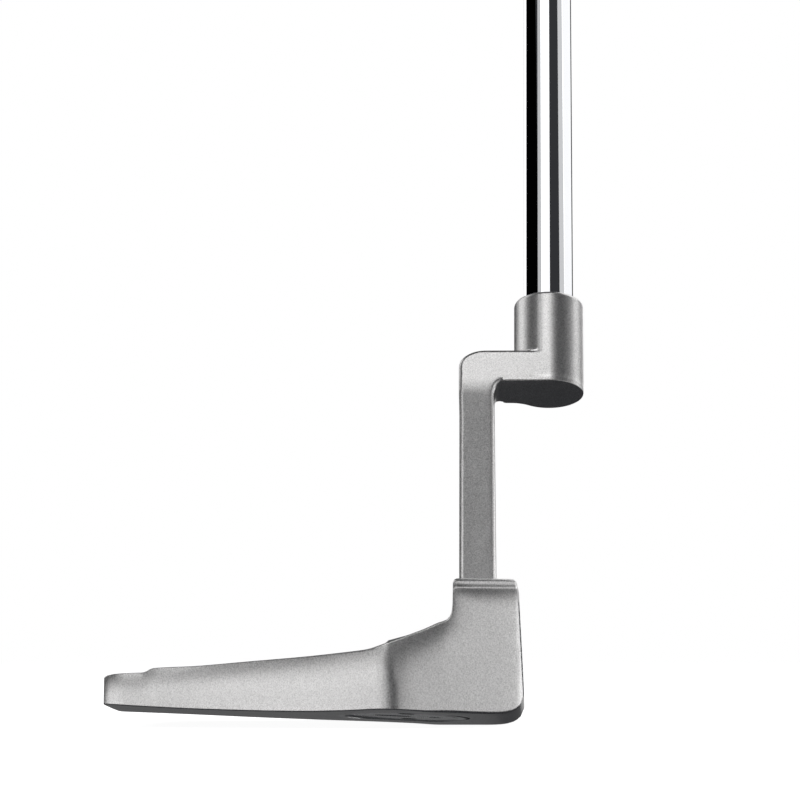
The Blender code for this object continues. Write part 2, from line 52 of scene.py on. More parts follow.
# the sole weights' disc
DISC_R, DISC_T, DISC_SINK = 10.4, 2.1, 0.15

# ------------------------------------------------------------------ mesh helpers


def link_object(name, data, matrix=None):
    """Put a mesh, light or camera into the scene as an object."""
    obj = bpy.data.objects.new(name, data)
    bpy.context.scene.collection.objects.link(obj)
    if matrix is not None:
        obj.matrix_world = matrix
    return obj


def scaled_mesh(name, bm):
    """Turn a closed bmesh in millimetres into a mesh in metres."""
    bmesh.ops.recalc_face_normals(bm, faces=bm.faces)
    bmesh.ops.scale(bm, vec=Vector((MM, MM, MM)), verts=bm.verts)
    mesh = bpy.data.meshes.new(name)
    bm.to_mesh(mesh)
    bm.free()
    return mesh


def solid(name, bm, slot, matrix=None):
    """A smooth-shaded object with its slot's material, made from a bmesh in millimetres."""
    mesh = scaled_mesh(name, bm)
    mesh.shade_smooth()
    mesh.set_sharp_from_angle(angle=math.radians(40.0))
    obj = link_object(name, mesh, matrix)
    mesh.materials.append(MATS[slot])
    return obj


def smooth_normals(obj):
    mod = obj.modifiers.new("normals", "WEIGHTED_NORMAL")
    mod.keep_sharp = True


def hang(obj, body, replaced):
    """Let a finished piece ride on its CAD body in the place of its CAD nodes."""
    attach(obj, body)
    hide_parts(*replaced)


def piece(name, bm, body, slot, replaced, matrix=None):
    """A piece that needs no more work once it is made."""
    obj = solid(name, bm, slot, matrix)
    smooth_normals(obj)
    hang(obj, body, replaced)


def settle(obj, body, slot, replaced, sharp_deg=40.0, bevel=0.0):
    """Shade a piece again after its booleans, soften its edges and hang it on its CAD body."""
    obj.data.materials.clear()
    obj.data.materials.append(MATS[slot])
    for poly in obj.data.polygons:
        poly.material_index = 0
    obj.data.shade_smooth()
    obj.data.set_sharp_from_angle(angle=math.radians(sharp_deg))
    if bevel:
        mod = obj.modifiers.new("edges", "BEVEL")
        mod.width = bevel * MM
        mod.segments = 3
        mod.limit_method = "ANGLE"
        mod.angle_limit = math.radians(38.0)
        mod.miter_outer = "MITER_ARC"
        mod.harden_normals = True
    smooth_normals(obj)
    hang(obj, body, replaced)


def cut(obj, bm, matrix=None, operation="DIFFERENCE"):
    """Apply a boolean with a bmesh in millimetres, before any other modifier."""
    mesh = scaled_mesh("cutter", bm)
    tool = link_object("cutter", mesh, matrix)
    mod = obj.modifiers.new("cut", "BOOLEAN")
    mod.operation = operation
    mod.solver = "EXACT"
    mod.object = tool
    depsgraph = bpy.context.evaluated_depsgraph_get()
    result = bpy.data.meshes.new_from_object(obj.evaluated_get(depsgraph))
    obj.modifiers.remove(mod)
    old = obj.data
    obj.data = result
    bpy.data.meshes.remove(old)
    bpy.data.objects.remove(tool)
    bpy.data.meshes.remove(mesh)


def loft(loops, closed=False, caps=True):
    """Skin closed loops of equal count."""
    bm = bmesh.new()
    rings = [[bm.verts.new(p) for p in loop] for loop in loops]
    count = len(rings[0])
    pairs = list(zip(rings, rings[1:]))
    if closed:
        pairs.append((rings[-1], rings[0]))
    for low, high in pairs:
        for i in range(count):
            j = (i + 1) % count
            bm.faces.new((low[i], low[j], high[j], high[i]))
    if caps and not closed:
        bm.faces.new(rings[0][::-1])
        bm.faces.new(rings[-1])
    return bm


def prism(outline, low, high, axis="Z"):
    """Push an outline along Z, or an outline in X and Z along Y."""
    if axis == "Z":
        return loft([[(a, b, low) for a, b in outline], [(a, b, high) for a, b in outline]])
    return loft([[(a, low, b) for a, b in outline], [(a, high, b) for a, b in outline]])


def rounded_outline(corners, radius, steps=8):
    """Round each corner of a counter-clockwise outline."""
    out = []
    count = len(corners)
    for i in range(count):
        here = Vector(corners[i])
        to_last = (Vector(corners[i - 1]) - here).normalized()
        to_next = (Vector(corners[(i + 1) % count]) - here).normalized()
        half = to_last.angle(to_next) / 2
        centre = here + (to_last + to_next).normalized() * (radius / math.sin(half))
        start = here + to_last * (radius / math.tan(half)) - centre
        end = here + to_next * (radius / math.tan(half)) - centre
        sweep = start.angle_signed(end)
        for k in range(steps + 1):
            turned = start.copy()
            turned.rotate(Matrix.Rotation(-sweep * k / steps, 2))
            out.append(tuple(centre + turned))
    return out


def offset_outline(outline, distance):
    """Move a counter-clockwise outline outwards along its corner normals."""
    out = []
    count = len(outline)
    for i in range(count):
        here = Vector(outline[i])
        one = here - Vector(outline[i - 1])
        two = Vector(outline[(i + 1) % count]) - here
        n1 = Vector((one.y, -one.x)).normalized()
        n2 = Vector((two.y, -two.x)).normalized()
        mid = (n1 + n2).normalized()
        out.append(tuple(here + mid * (distance / max(0.5, mid.dot(n1)))))
    return out


def lathe(profile, segments):
    """Turn (radius, height) points about Z. A profile that closes on itself makes a ring."""
    closed = profile[0] == profile[-1]
    points = profile[:-1] if closed else profile
    bm = bmesh.new()
    rings = []
    turn = [2 * math.pi * i / segments for i in range(segments)]
    for r, z in points:
        if r == 0:
            rings.append([bm.verts.new((0, 0, z))])
        else:
            rings.append([bm.verts.new((r * math.cos(a), r * math.sin(a), z)) for a in turn])
    pairs = list(zip(rings, rings[1:]))
    if closed:
        pairs.append((rings[-1], rings[0]))
    for low, high in pairs:
        for i in range(segments):
            j = (i + 1) % segments
            quad = [low[i % len(low)], low[j % len(low)], high[j % len(high)], high[i % len(high)]]
            bm.faces.new(list(dict.fromkeys(quad)))
    return bm


def place(x, y, z, z_axis, x_axis=(1, 0, 0)):
    """A frame at a point in millimetres, its Z along z_axis and its X as near to x_axis as it goes."""
    up = Vector(z_axis).normalized()
    side = up.cross(Vector(x_axis)).normalized()
    ahead = side.cross(up)
    turn = Matrix((ahead, side, up)).transposed().to_4x4()
    return Matrix.Translation(Vector((x, y, z)) * MM) @ turn


def arc(steps, low=0.0, high=90.0):
    """Angles in radians, evenly spread over a range in degrees."""
    return [math.radians(low + (high - low) * k / steps) for k in range(steps + 1)]


def line_table(rows, x):
    """Straight lines through the rows' points."""
    if x <= rows[0][0]:
        return rows[0][1]
    for (x0, v0), (x1, v1) in zip(rows, rows[1:]):
        if x <= x1:
            return v0 + (v1 - v0) * (x - x0) / (x1 - x0)
    return rows[-1][1]


def curve_table(rows, x):
    """Monotone cubic through the rows' points."""
    xs = [r[0] for r in rows]
    vs = [r[1] for r in rows]
    if x <= xs[0]:
        return vs[0]
    if x >= xs[-1]:
        return vs[-1]
    count = len(xs)
    slopes = [(vs[i + 1] - vs[i]) / (xs[i + 1] - xs[i]) for i in range(count - 1)]

    def tangent(i):
        if i == 0:
            return slopes[0]
        if i == count - 1:
            return slopes[-1]
        a, b = slopes[i - 1], slopes[i]
        if a * b <= 0:
            return 0.0
        return 2 * a * b / (a + b)

    i = next(k for k in range(count - 1) if x <= xs[k + 1])
    h = xs[i + 1] - xs[i]
    t = (x - xs[i]) / h
    m0, m1 = tangent(i) * h, tangent(i + 1) * h
    return ((2 * t ** 3 - 3 * t ** 2 + 1) * vs[i] + (t ** 3 - 2 * t ** 2 + t) * m0
            + (-2 * t ** 3 + 3 * t ** 2) * vs[i + 1] + (t ** 3 - t ** 2) * m1)


def step01(t):
    """Smooth step from 0 to 1."""
    t = max(0.0, min(1.0, t))
    return t * t * (3 - 2 * t)


# ------------------------------------------------------------------ node helpers


class Nodes:
    """Short hand for building a material or world node tree."""

    def __init__(self, tree):
        self.tree = tree
        self.shader = None

    def add(self, kind, inputs=None, **settings):
        node = self.tree.nodes.new(kind)
        for key, value in settings.items():
            setattr(node, key, value)
        for key, value in (inputs or {}).items():
            socket = node.inputs[key]
            if isinstance(value, bpy.types.NodeSocket):
                self.tree.links.new(value, socket)
            else:
                socket.default_value = value
        return node

    def math(self, operation, a, b=0.0, c=None, clamp=False):
        inputs = {0: a, 1: b}
        if c is not None:
            inputs[2] = c
        return self.add("ShaderNodeMath", inputs, operation=operation, use_clamp=clamp).outputs[0]

    def noise(self, vector, scale, detail=2.0, roughness=0.5):
        inputs = {"Vector": vector, "Scale": scale, "Detail": detail, "Roughness": roughness}
        return self.add("ShaderNodeTexNoise", inputs).outputs["Fac"]

    def mix(self, a, share_a, b, share_b):
        """Weighted sum of two values."""
        return self.math("ADD", self.math("MULTIPLY", a, share_a), self.math("MULTIPLY", b, share_b))

    def remap(self, value, low, high, new_low=0.0, new_high=1.0):
        """Carry a value from one range to another, held at the ends."""
        inputs = {"Value": value, "From Min": low, "From Max": high, "To Min": new_low, "To Max": new_high}
        return self.add("ShaderNodeMapRange", inputs).outputs["Result"]

    def spread(self, value, low, high):
        return self.remap(value, 0.0, 1.0, low, high)

    def feed(self, name, value):
        """Set one of the material shader's inputs, or link a value to it."""
        if isinstance(value, bpy.types.NodeSocket):
            self.tree.links.new(value, self.shader.inputs[name])
        else:
            self.shader.inputs[name].default_value = value

    def bump(self, height, depth_mm, strength):
        inputs = {"Height": height, "Distance": depth_mm * MM, "Strength": strength}
        self.feed("Normal", self.add("ShaderNodeBump", inputs).outputs["Normal"])


def colour(value):
    """RGBA from one grey level or from an RGB triple."""
    return (*value, 1.0) if isinstance(value, tuple) else (value, value, value, 1.0)


def new_material(name):
    """A material with one shader, its node kit, and its object coordinates."""
    mat = bpy.data.materials.new(name)
    mat.use_nodes = True
    mat.node_tree.nodes.clear()
    kit = Nodes(mat.node_tree)
    kit.shader = kit.add("ShaderNodeBsdfPrincipled")
    kit.add("ShaderNodeOutputMaterial", {"Surface": kit.shader.outputs["BSDF"]})
    return mat, kit, kit.add("ShaderNodeTexCoord").outputs["Object"]


def coloured(kit, factor, low, high):
    """A colour between two colours, by a factor."""
    inputs = {"Factor": factor, "A": colour(low), "B": colour(high)}
    return kit.add("ShaderNodeMix", inputs, data_type="RGBA").outputs["Result"]


# ------------------------------------------------------------------ materials


def satin_steel(name):
    """Bead-blasted stainless steel: a tight matte grain, slow clouding and brighter worn edges."""
    mat, kit, coords = new_material(name)
    fine = kit.noise(coords, 4600.0, 2.0, 0.6)
    grain = kit.noise(coords, 1900.0, 3.0, 0.65)
    cloud = kit.noise(coords, 110.0, 3.0, 0.5)
    edge = kit.add("ShaderNodeNewGeometry").outputs["Pointiness"]
    wear = kit.remap(edge, 0.52, 0.60, 0.0, 0.35)
    mottle = kit.mix(fine, 0.76, grain, 0.24)
    sharp = kit.remap(mottle, 0.36, 0.64)
    tone = kit.math("ADD", kit.mix(sharp, 0.68, cloud, 0.16), wear, clamp=True)
    kit.feed("Base Color", coloured(kit, tone, (0.478, 0.474, 0.470), (0.990, 0.982, 0.976)))
    kit.feed("Metallic", 1.0)
    uneven = kit.mix(sharp, 0.6, cloud, 0.4)
    kit.feed("Roughness", kit.spread(uneven, 0.31, 0.40))
    kit.bump(mottle, 0.03, 0.5)
    return mat


def mirror_chrome(name):
    """Polished plating with the faint draw lines and hairline scuffs of a used shaft."""
    mat, kit, coords = new_material(name)
    along = {"Vector": coords, "Scale": (900.0, 900.0, 14.0)}
    drawn = kit.noise(kit.add("ShaderNodeMapping", along).outputs["Vector"], 1.0, 3.0, 0.5)
    haze = kit.noise(coords, 60.0, 4.0, 0.6)
    base = coloured(kit, haze, (0.80, 0.81, 0.83), (0.90, 0.905, 0.92))
    kit.feed("Base Color", base)
    kit.feed("Metallic", 1.0)
    both = kit.math("MULTIPLY", drawn, haze)
    kit.feed("Roughness", kit.spread(both, 0.03, 0.085))
    kit.bump(drawn, 0.0008, 0.35)
    return mat


def turned_steel(name):
    """Machined steel: rings about the piece's own axis, a satin sheen and painted shade at the rim, where the
    gap round the disc lies in shadow.
    """
    mat, kit, coords = new_material(name)
    flat = kit.add("ShaderNodeVectorMath", {0: coords, 1: (1.0, 1.0, 0.0)}, operation="MULTIPLY")
    radius = kit.add("ShaderNodeVectorMath", {0: flat.outputs["Vector"]}, operation="LENGTH").outputs["Value"]
    ring_pitch = 0.11 * MM
    rings = kit.math("SINE", kit.math("MULTIPLY", radius, 2 * math.pi / ring_pitch))
    grain = kit.noise(coords, 2600.0, 3.0, 0.6)
    clean = coloured(kit, grain, (0.44, 0.44, 0.445), (0.68, 0.68, 0.675))
    # painted shade: the colour darkens almost to black towards the disc's rim, in place of the shadow in the
    # gap to its port
    painted_rim_shade = kit.remap(radius, (DISC_R - 0.75) * MM, (DISC_R - 0.3) * MM)
    base = kit.add("ShaderNodeMix", {"Factor": painted_rim_shade, "A": clean, "B": colour(0.015)}, data_type="RGBA")
    kit.feed("Base Color", base.outputs["Result"])
    kit.feed("Metallic", 1.0)
    kit.feed("Roughness", kit.spread(grain, 0.20, 0.32))
    kit.bump(kit.mix(rings, 0.5, grain, 0.8), 0.004, 0.5)
    return mat


def moulded(name, low, high, rough, scale, depth_mm, coat=0.0, metallic=0.0, gloss=0.5):
    """Plastics, rubbers, paints and films: two close tones, fine relief and uneven gloss."""
    mat, kit, coords = new_material(name)
    grain = kit.noise(coords, scale, 3.0, 0.6)
    slow = kit.noise(coords, scale * 0.06)
    kit.feed("Base Color", coloured(kit, kit.mix(grain, 0.6, slow, 0.4), low, high))
    kit.feed("Roughness", kit.spread(grain, *rough))
    kit.bump(grain, depth_mm, 1.0)
    kit.feed("Metallic", metallic)
    kit.feed("Coat Weight", coat)
    kit.feed("Coat Roughness", 0.08)
    kit.feed("Specular IOR Level", gloss)
    return mat


def pebbled_rubber(name):
    """Grip rubber: small raised cells, painted shade darkening the hollows between them, and a dusty speckle
    on top.
    """
    mat, kit, coords = new_material(name)
    packed = {"Vector": coords, "Scale": 1100.0, "Randomness": 0.85}
    cells = kit.add("ShaderNodeTexVoronoi", packed, feature="DISTANCE_TO_EDGE").outputs["Distance"]
    top = kit.math("SMOOTH_MIN", kit.math("MULTIPLY", cells, 6.0), 1.0, 0.4)
    dust = kit.noise(coords, 420.0, 4.0, 0.6)
    # painted shade: the cells' height darkens the colour into the hollows between them; the dust noise
    # speckles it
    tone = kit.math("MULTIPLY", top, dust)
    kit.feed("Base Color", coloured(kit, tone, (0.010, 0.010, 0.012), (0.055, 0.055, 0.060)))
    kit.feed("Roughness", kit.spread(dust, 0.52, 0.80))
    kit.bump(kit.math("ADD", top, kit.math("MULTIPLY", dust, 0.25)), 0.14, 0.7)
    return mat


# slot: two tones, range of roughness, grain per metre, relief in mm, anything else
MOULDED = {
    "insert_polymer": ((0.060, 0.066, 0.080), (0.120, 0.128, 0.148), (0.34, 0.50), 2400.0, 0.012, {}),
    "damping_pad": (0.03, 0.07, (0.7, 0.9), 1800.0, 0.05, {}),
    "sight_paint": ((0.008, 0.008, 0.009), (0.022, 0.022, 0.024), (0.22, 0.36), 1500.0, 0.008, {"coat": 0.4}),
    "mark_blue": ((0.008, 0.016, 0.075), (0.020, 0.038, 0.150), (0.35, 0.50), 1700.0, 0.008, {"gloss": 0.03}),
    "washer_nylon": ((0.70, 0.70, 0.66), (0.86, 0.86, 0.82), (0.42, 0.56), 2200.0, 0.01, {}),
    "epoxy": ((0.26, 0.22, 0.13), (0.42, 0.37, 0.25), (0.15, 0.35), 500.0, 0.03, {}),
    "plug_brass": ((0.62, 0.46, 0.20), (0.82, 0.64, 0.32), (0.28, 0.42), 2500.0, 0.01, {"metallic": 1.0}),
    "band_film": ((0.60, 0.60, 0.62), (0.74, 0.74, 0.76), (0.22, 0.36), 1300.0, 0.006, {"coat": 0.3}),
    "tape_paper": ((0.74, 0.70, 0.58), (0.90, 0.87, 0.78), (0.75, 0.92), 1500.0, 0.03, {}),
    "eva_foam": ((0.06, 0.06, 0.065), (0.15, 0.15, 0.16), (0.85, 0.98), 1600.0, 0.08, {}),
    "cap_rubber": ((0.012, 0.012, 0.013), (0.035, 0.035, 0.037), (0.40, 0.60), 1900.0, 0.02, {}),
}
MATS = {
    "satin_steel": satin_steel("satin_steel_fine"),
    "shaft_chrome": mirror_chrome("shaft_chrome_fine"),
    "weight_steel": turned_steel("weight_steel_fine"),
}
for slot, (*look, extras) in MOULDED.items():
    MATS[slot] = moulded(f"{slot}_fine", *look, **extras)
MATS["grip_rubber"] = pebbled_rubber("grip_rubber_fine")

# ------------------------------------------------------------------ head

# places along the head are counted from the leading edge, heights from the ground
FACE_TOP_X, FACE_TOP_Z = -1.2, 24.4
FACE_FOOT_X, FACE_FOOT_Z = -0.1, 2.9
# cross-sections from tail to face: X and Z of the top line, X at the sole
STATIONS = [
    (-71.5, 8.6, -71.5), (-70.9, 8.95, -70.9), (-69.8, 9.15, -69.8), (-68.0, 9.28, -68.0),
    (-64.7, 9.42, -64.7), (-63.0, 10.15, -62.6), (-56.0, 10.5, -56.0), (-46.0, 11.34, -46.0),
    (-37.0, 12.1, -37.0), (-30.0, 12.85, -30.0), (-26.2, 13.35, -26.2), (-23.6, 14.2, -23.8),
    (-21.4, 15.0, -21.6), (-19.2, 15.8, -19.4), (-16.6, 16.8, -17.0), (-14.4, 17.8, -15.0),
    (-13.0, 18.3, -13.4), (-12.2, 19.5, -11.8), (-12.0, 21.0, -10.2), (-11.95, 24.6, -8.6),
    (-11.3, 25.25, -7.2), (-7.6, 25.25, -6.4), (-3.6, 25.25, -4.0), (-1.9, 25.22, -2.0),
    (-1.4, 25.0, -0.7), (FACE_TOP_X, FACE_TOP_Z, FACE_FOOT_X),
]
HALF_WIDTH = [
    (-71.5, 41.9), (-71.0, 42.24), (-70.5, 42.49), (-70.0, 42.67), (-69.0, 42.9), (-68.4, 42.99),
    (-65.6, 43.3), (-62.6, 43.66), (-56.0, 44.6), (-46.0, 46.6), (-37.0, 48.8), (-30.0, 50.9),
    (-26.2, 52.1), (-24.0, 52.8), (-21.7, 53.0), (-19.4, 52.4), (-17.0, 51.4), (-12.2, 49.1),
    (-7.2, 46.3), (-4.4, 44.65), (-2.2, 43.15), (-0.9, 42.1), (0.0, 41.2),
]
# height of the sole's middle line, and the slope at which the sole rises to both sides of its flat pad
ROCKER = [
    (-72.1, 2.33), (-61.6, 1.93), (-46.0, 1.25), (-37.0, 0.92), (-26.2, 0.55), (-19.4, 0.25),
    (-15.0, 0.0), (-6.4, 0.0), (-4.0, 0.1), (-2.0, 0.55), (-0.7, 1.5), (FACE_FOOT_X, FACE_FOOT_Z),
]
CAMBER_SLOPE = [
    (-71.5, 0.0692), (-66.0, 0.0635), (-56.0, 0.0595), (-48.0, 0.0605), (-38.7, 0.0628),
    (-30.0, 0.0700), (-24.0, 0.0785), (-18.0, 0.0815), (-12.0, 0.0830),
]
PAD_HALF = 8.0
PAD_EASE = 0.8
# the ridge between wing and bumper leans back as it rises
RIDGE_X, RIDGE_REACH, RIDGE_LEAN = -22.0, 9.0, 0.16
# the edge between side wall and sole grows rounder from the ridge to the bumper
SOLE_R, SOLE_R_FRONT = 0.22, 0.5
SOLE_R_FROM, SOLE_R_RUN = -20.0, 8.0
TAIL_R = 0.4
# the edge between top and side wall: its height and inset, as shares of the wall's height
RIM_SHARE, RIM_INSET_SHARE = 0.025, 0.020
# the side walls roll in towards the top line: slope at the edge and reach down the wall, along X
CROWN_SLOPE = [
    (-71.5, 0.36), (-60.0, 0.36), (-42.0, 0.33), (-30.0, 0.27), (-20.0, 0.31), (-12.0, 0.32),
    (0.0, 0.32),
]
CROWN_REACH = [(-71.5, 5.6), (-45.0, 6.2), (-30.0, 7.0), (-20.0, 8.0), (-12.0, 7.0), (0.0, 7.0)]
ROLL_POWER = 2.5
# the bumper's lip, the cove under it and the easing of the wall below that
BUMPER_Z = 25.25
BUMPER_BACK_X = -11.9
LIP_H, COVE_H, LIP_SHARE = 0.8, 0.8, 0.86
COVE_SLOPE, COVE_REACH = 0.43, 5.0
# depths of the side wall's rows on a wall of the reference height, close together at lip and cove
WALL_REF = 22.0
WALL_ROWS = [LIP_H - 0.2] + [LIP_H + COVE_H * k / 7 for k in range(8)]
WALL_ROWS += [(LIP_H + COVE_H) * 1.2 ** k for k in range(1, 13)]
# side view of the ledge behind the bumper, and how far its ends drop at which Y
LEDGE = [
    (-24.9, 12.0), (-24.6, 14.0), (-24.3, 14.5), (-23.8, 14.95), (-18.0, 16.5), (-12.6, 18.6),
    (-9.0, 18.6), (-9.0, 12.0),
]
LEDGE_SLOPE_Z = 13.0
LEDGE_ENDS = [(-24.0, 1.6), (-22.2, 0.0), (22.2, 0.0), (24.0, 1.6)]
# the two shallow pockets in the top
POCKET_X, POCKET_Y, POCKET_WALL = (-61.5, -32.0), 6.0, 8.5
POCKET_Z, POCKET_R, POCKET_FILLET, POCKET_EASE = 5.4, 3.5, 1.6, 0.5
ABOVE_HEAD = 45.0
# face insert, sole weights and sight line
INSERT_W, INSERT_H, INSERT_T, INSERT_Z, INSERT_R = 50.0, 16.4, 2.8, 13.4, 5.0
DAMPING_T = 0.5
PORT_X, PORT_Y = -20.0, 34.0
SHANK_R, SHANK_LEN, WASHER_T = 6.0, 5.0, 0.5
SIGHT_X, SIGHT_HALF = (-55.6, -37.4), 0.95


def camber(x, y):
    """Rise of the sole above its middle line."""
    out = max(0.0, abs(y) - PAD_HALF) * curve_table(CAMBER_SLOPE, x)
    return math.hypot(out, PAD_EASE) - PAD_EASE


def fine_stations(spacing=0.8):
    """Stations eased through the coarse ones and spaced evenly along the top line."""
    run = [0.0]
    for (x0, z0, f0), (x1, z1, f1) in zip(STATIONS, STATIONS[1:]):
        run.append(run[-1] + max(0.5, math.hypot(x1 - x0, z1 - z0), abs(f1 - f0)))
    rows = [list(zip(run, column)) for column in zip(*STATIONS)]
    marks = []
    for a, b in zip(run, run[1:]):
        parts = max(1, round((b - a) / spacing))
        marks += [a + (b - a) * k / parts for k in range(parts)]
    marks.append(run[-1])
    return [tuple(curve_table(row, t) for row in rows) for t in marks]


REAR_LINE = [(x, z) for x, z, foot in fine_stations() if x < BUMPER_BACK_X]


def to_segment(x, z, start, end):
    """Distance from a point to a straight piece of line."""
    run, rise = end[0] - start[0], end[1] - start[1]
    t = ((x - start[0]) * run + (z - start[1]) * rise) / (run * run + rise * rise)
    t = max(0.0, min(1.0, t))
    return math.hypot(x - start[0] - run * t, z - start[1] - rise * t)


def roll(distance, slope, reach):
    """Depth of an easing whose slope is greatest at its edge and fades over its reach."""
    share = min(1.0, max(0.0, 1 - distance / reach))
    return slope * reach / ROLL_POWER * share ** ROLL_POWER


def crown(x, z):
    """How far the side wall stands in from the plan outline."""
    near = min(to_segment(x, z, *pair) for pair in zip(REAR_LINE, REAR_LINE[1:]))
    rear = roll(near, curve_table(CROWN_SLOPE, x), curve_table(CROWN_REACH, x))
    drop = BUMPER_Z - z
    front = roll(drop - LIP_H - COVE_H, COVE_SLOPE, COVE_REACH)
    under_lip = step01((drop - LIP_H) / COVE_H)
    return math.hypot(rear, front) * (LIP_SHARE + (1 - LIP_SHARE) * under_lip)


def head_section(station):
    """One loop round the head: top middle, over the rim, down the wall, along the sole."""
    top_x, top_z, foot_x = station
    foot_z = curve_table(ROCKER, foot_x)
    lean = (top_x - foot_x) / (top_z - foot_z)
    low = foot_z + camber(foot_x, curve_table(HALF_WIDTH, foot_x))
    tall = top_z - low
    rim, inset = RIM_SHARE * tall, RIM_INSET_SHARE * tall

    def at(z):
        return foot_x + lean * (z - foot_z)

    def wall(z, tuck=0.0):
        near = max(0.0, 1 - abs(at(z) - RIDGE_X) / RIDGE_REACH)
        wide = curve_table(HALF_WIDTH, at(z) + RIDGE_LEAN * (z - low) * near)
        return at(z), wide - crown(at(z), z) - tuck, z

    reach = wall(top_z, inset)[1]
    half = [(top_x, reach * k / 10, top_z) for k in range(10)]
    half += [wall(top_z - rim * (1 - math.cos(a)), inset * (1 - math.sin(a))) for a in arc(5)]
    half += [wall(top_z - row * tall / WALL_REF) for row in WALL_ROWS]
    edge = SOLE_R + (SOLE_R_FRONT - SOLE_R) * step01((foot_x - SOLE_R_FROM) / SOLE_R_RUN)
    for a in reversed(arc(4)):
        half.append(wall(low + edge * (1 - math.cos(a)), edge * (1 - math.sin(a))))
    reach = half[-1][1]
    spots = [PAD_HALF + (reach - PAD_HALF) * k / 12 for k in range(11, -1, -1)]
    for y in spots + [PAD_HALF / 2, 0.0]:
        z = foot_z + camber(foot_x, y)
        half.append((at(z), y, z))
    mirrored = [(x, -y, z) for x, y, z in half[1:-1]]
    return half + mirrored[::-1]


def rounded_tail(loop):
    """Loops that close the head with a rounded edge, within the first section's plane."""
    zs = [p[2] for p in loop]
    mid, tall = (max(zs) + min(zs)) / 2, (max(zs) - min(zs)) / 2
    wide = max(p[1] for p in loop)
    loops = []
    for a in arc(4)[1:]:
        inset, back = TAIL_R * (1 - math.cos(a)), TAIL_R * (1 - math.sin(a))
        squeeze_y, squeeze_z = 1 - inset / wide, 1 - inset / tall
        loops.append([(x + back, y * squeeze_y, mid + (z - mid) * squeeze_z) for x, y, z in loop])
    return loops[::-1]


def face_frame():
    """Frame in the middle of the face insert: Z out of the face, X towards the heel."""
    run, rise = FACE_TOP_X - FACE_FOOT_X, FACE_TOP_Z - FACE_FOOT_Z
    lean = math.atan2(-run, rise)
    x = LE + FACE_FOOT_X + run * (INSERT_Z - FACE_FOOT_Z) / rise
    return place(x, 0.0, INSERT_Z, (math.cos(lean), 0.0, math.sin(lean)), (0, 1, 0))


def box_outline(rear, front, low, high):
    return [(rear, low), (front, low), (front, high), (rear, high)]


def insert_outline(grow):
    half_w, half_h = INSERT_W / 2 + grow, INSERT_H / 2 + grow
    return rounded_outline(box_outline(-half_w, half_w, -half_h, half_h), INSERT_R + grow)


def port_frame(side):
    """Frame of a weight port: Z out of the sole, square to it."""
    y = -PORT_Y if side == "toe" else PORT_Y
    step = 0.5
    slope_x = (line_table(ROCKER, PORT_X + step) - line_table(ROCKER, PORT_X - step)) / (2 * step)
    slope_y = (camber(PORT_X, y + step) - camber(PORT_X, y - step)) / (2 * step)
    z = line_table(ROCKER, PORT_X) + camber(PORT_X, y)
    return place(LE + PORT_X, y, z, (slope_x, slope_y, -1.0))


def sight_block(inset, low, high):
    """The sight line's shape between two depths under the top."""
    rear, front, half = SIGHT_X[0] + inset, SIGHT_X[1] - inset, SIGHT_HALF - inset
    outline = rounded_outline(box_outline(rear, front, -half, half), half * 0.9, 6)
    line = [(x, z) for x, z, foot in STATIONS if SIGHT_X[0] - 1 <= x <= SIGHT_X[1] + 1]
    return loft([[(x + LE, y, line_table(line, x) + h) for x, y in outline] for h in (low, high)])


def offset_list(outline, distance, height):
    return [(x, y, height) for x, y in offset_outline(outline, distance)]


def pocket_cutter():
    """The heel side's top pocket, with a filleted floor and an eased mouth."""
    top_line = [(x, z) for x, z, foot in STATIONS if x < -26.0]
    rear, front = POCKET_X
    rear_y, front_y = [line_table(HALF_WIDTH, x) - POCKET_WALL for x in POCKET_X]
    corners = [(rear + LE, POCKET_Y), (front + LE, POCKET_Y), (front + LE, front_y), (rear + LE, rear_y)]
    outline = rounded_outline(corners, POCKET_R)

    def rim_loop(grow, rise):
        return [(x, y, line_table(top_line, x - LE) + rise) for x, y in offset_outline(outline, grow)]

    loops = []
    for a in arc(5):
        inset, rise = POCKET_FILLET * (1 - math.sin(a)), POCKET_FILLET * (1 - math.cos(a))
        loops.append(offset_list(outline, -inset, POCKET_Z + rise))
    for a in arc(4, 0, 80):
        loops.append(rim_loop(POCKET_EASE * (1 - math.cos(a)), POCKET_EASE * (math.sin(a) - 1)))
    loops.append(rim_loop(POCKET_EASE + 3.0, 1.5))
    loops.append(offset_list(outline, POCKET_EASE + 3.0, ABOVE_HEAD))
    return loft(loops)


def port_cutter():
    """A weight port: bore for the shank, seat for the washer, recess for the disc, eased mouth."""
    floor = -SHANK_LEN - DISC_T - 1.4
    seat = -DISC_T - WASHER_T - DISC_SINK - 2 * GAP
    bore, recess = SHANK_R + 0.35, DISC_R + GAP
    profile = [(0.0, floor), (bore, floor), (bore, seat - 0.4), (bore + 0.4, seat), (recess, seat)]
    profile += [(recess, -0.25), (recess + 0.35, 0.1), (recess + 0.35, 4.0), (0.0, 4.0)]
    return lathe(profile, 96)


def make_head():
    loops = [head_section(s) for s in fine_stations()]
    body = loft([[(x + LE, y, z) for x, y, z in loop] for loop in rounded_tail(loops[0]) + loops])
    head = solid("head", body, "satin_steel")
    slab = []
    for y, drop in LEDGE_ENDS:
        slab.append([(x + LE, y, z - drop if z > LEDGE_SLOPE_Z else z) for x, z in LEDGE])
    cut(head, loft(slab), operation="UNION")
    for side in (-1, 1):
        pocket = pocket_cutter()
        for vert in pocket.verts:
            vert.co.y *= side
        cut(head, pocket)
    cut(head, prism(insert_outline(GAP), -INSERT_T - DAMPING_T - 2 * GAP, 3.0), face_frame())
    for side in ("toe", "heel"):
        cut(head, port_cutter(), port_frame(side))
    cut(head, sight_block(0.0, -0.9, 3.0))
    cut(head, spigot_mesh(GAP, FOOT_Z + 6.0))
    return head


# ------------------------------------------------------------------ neck

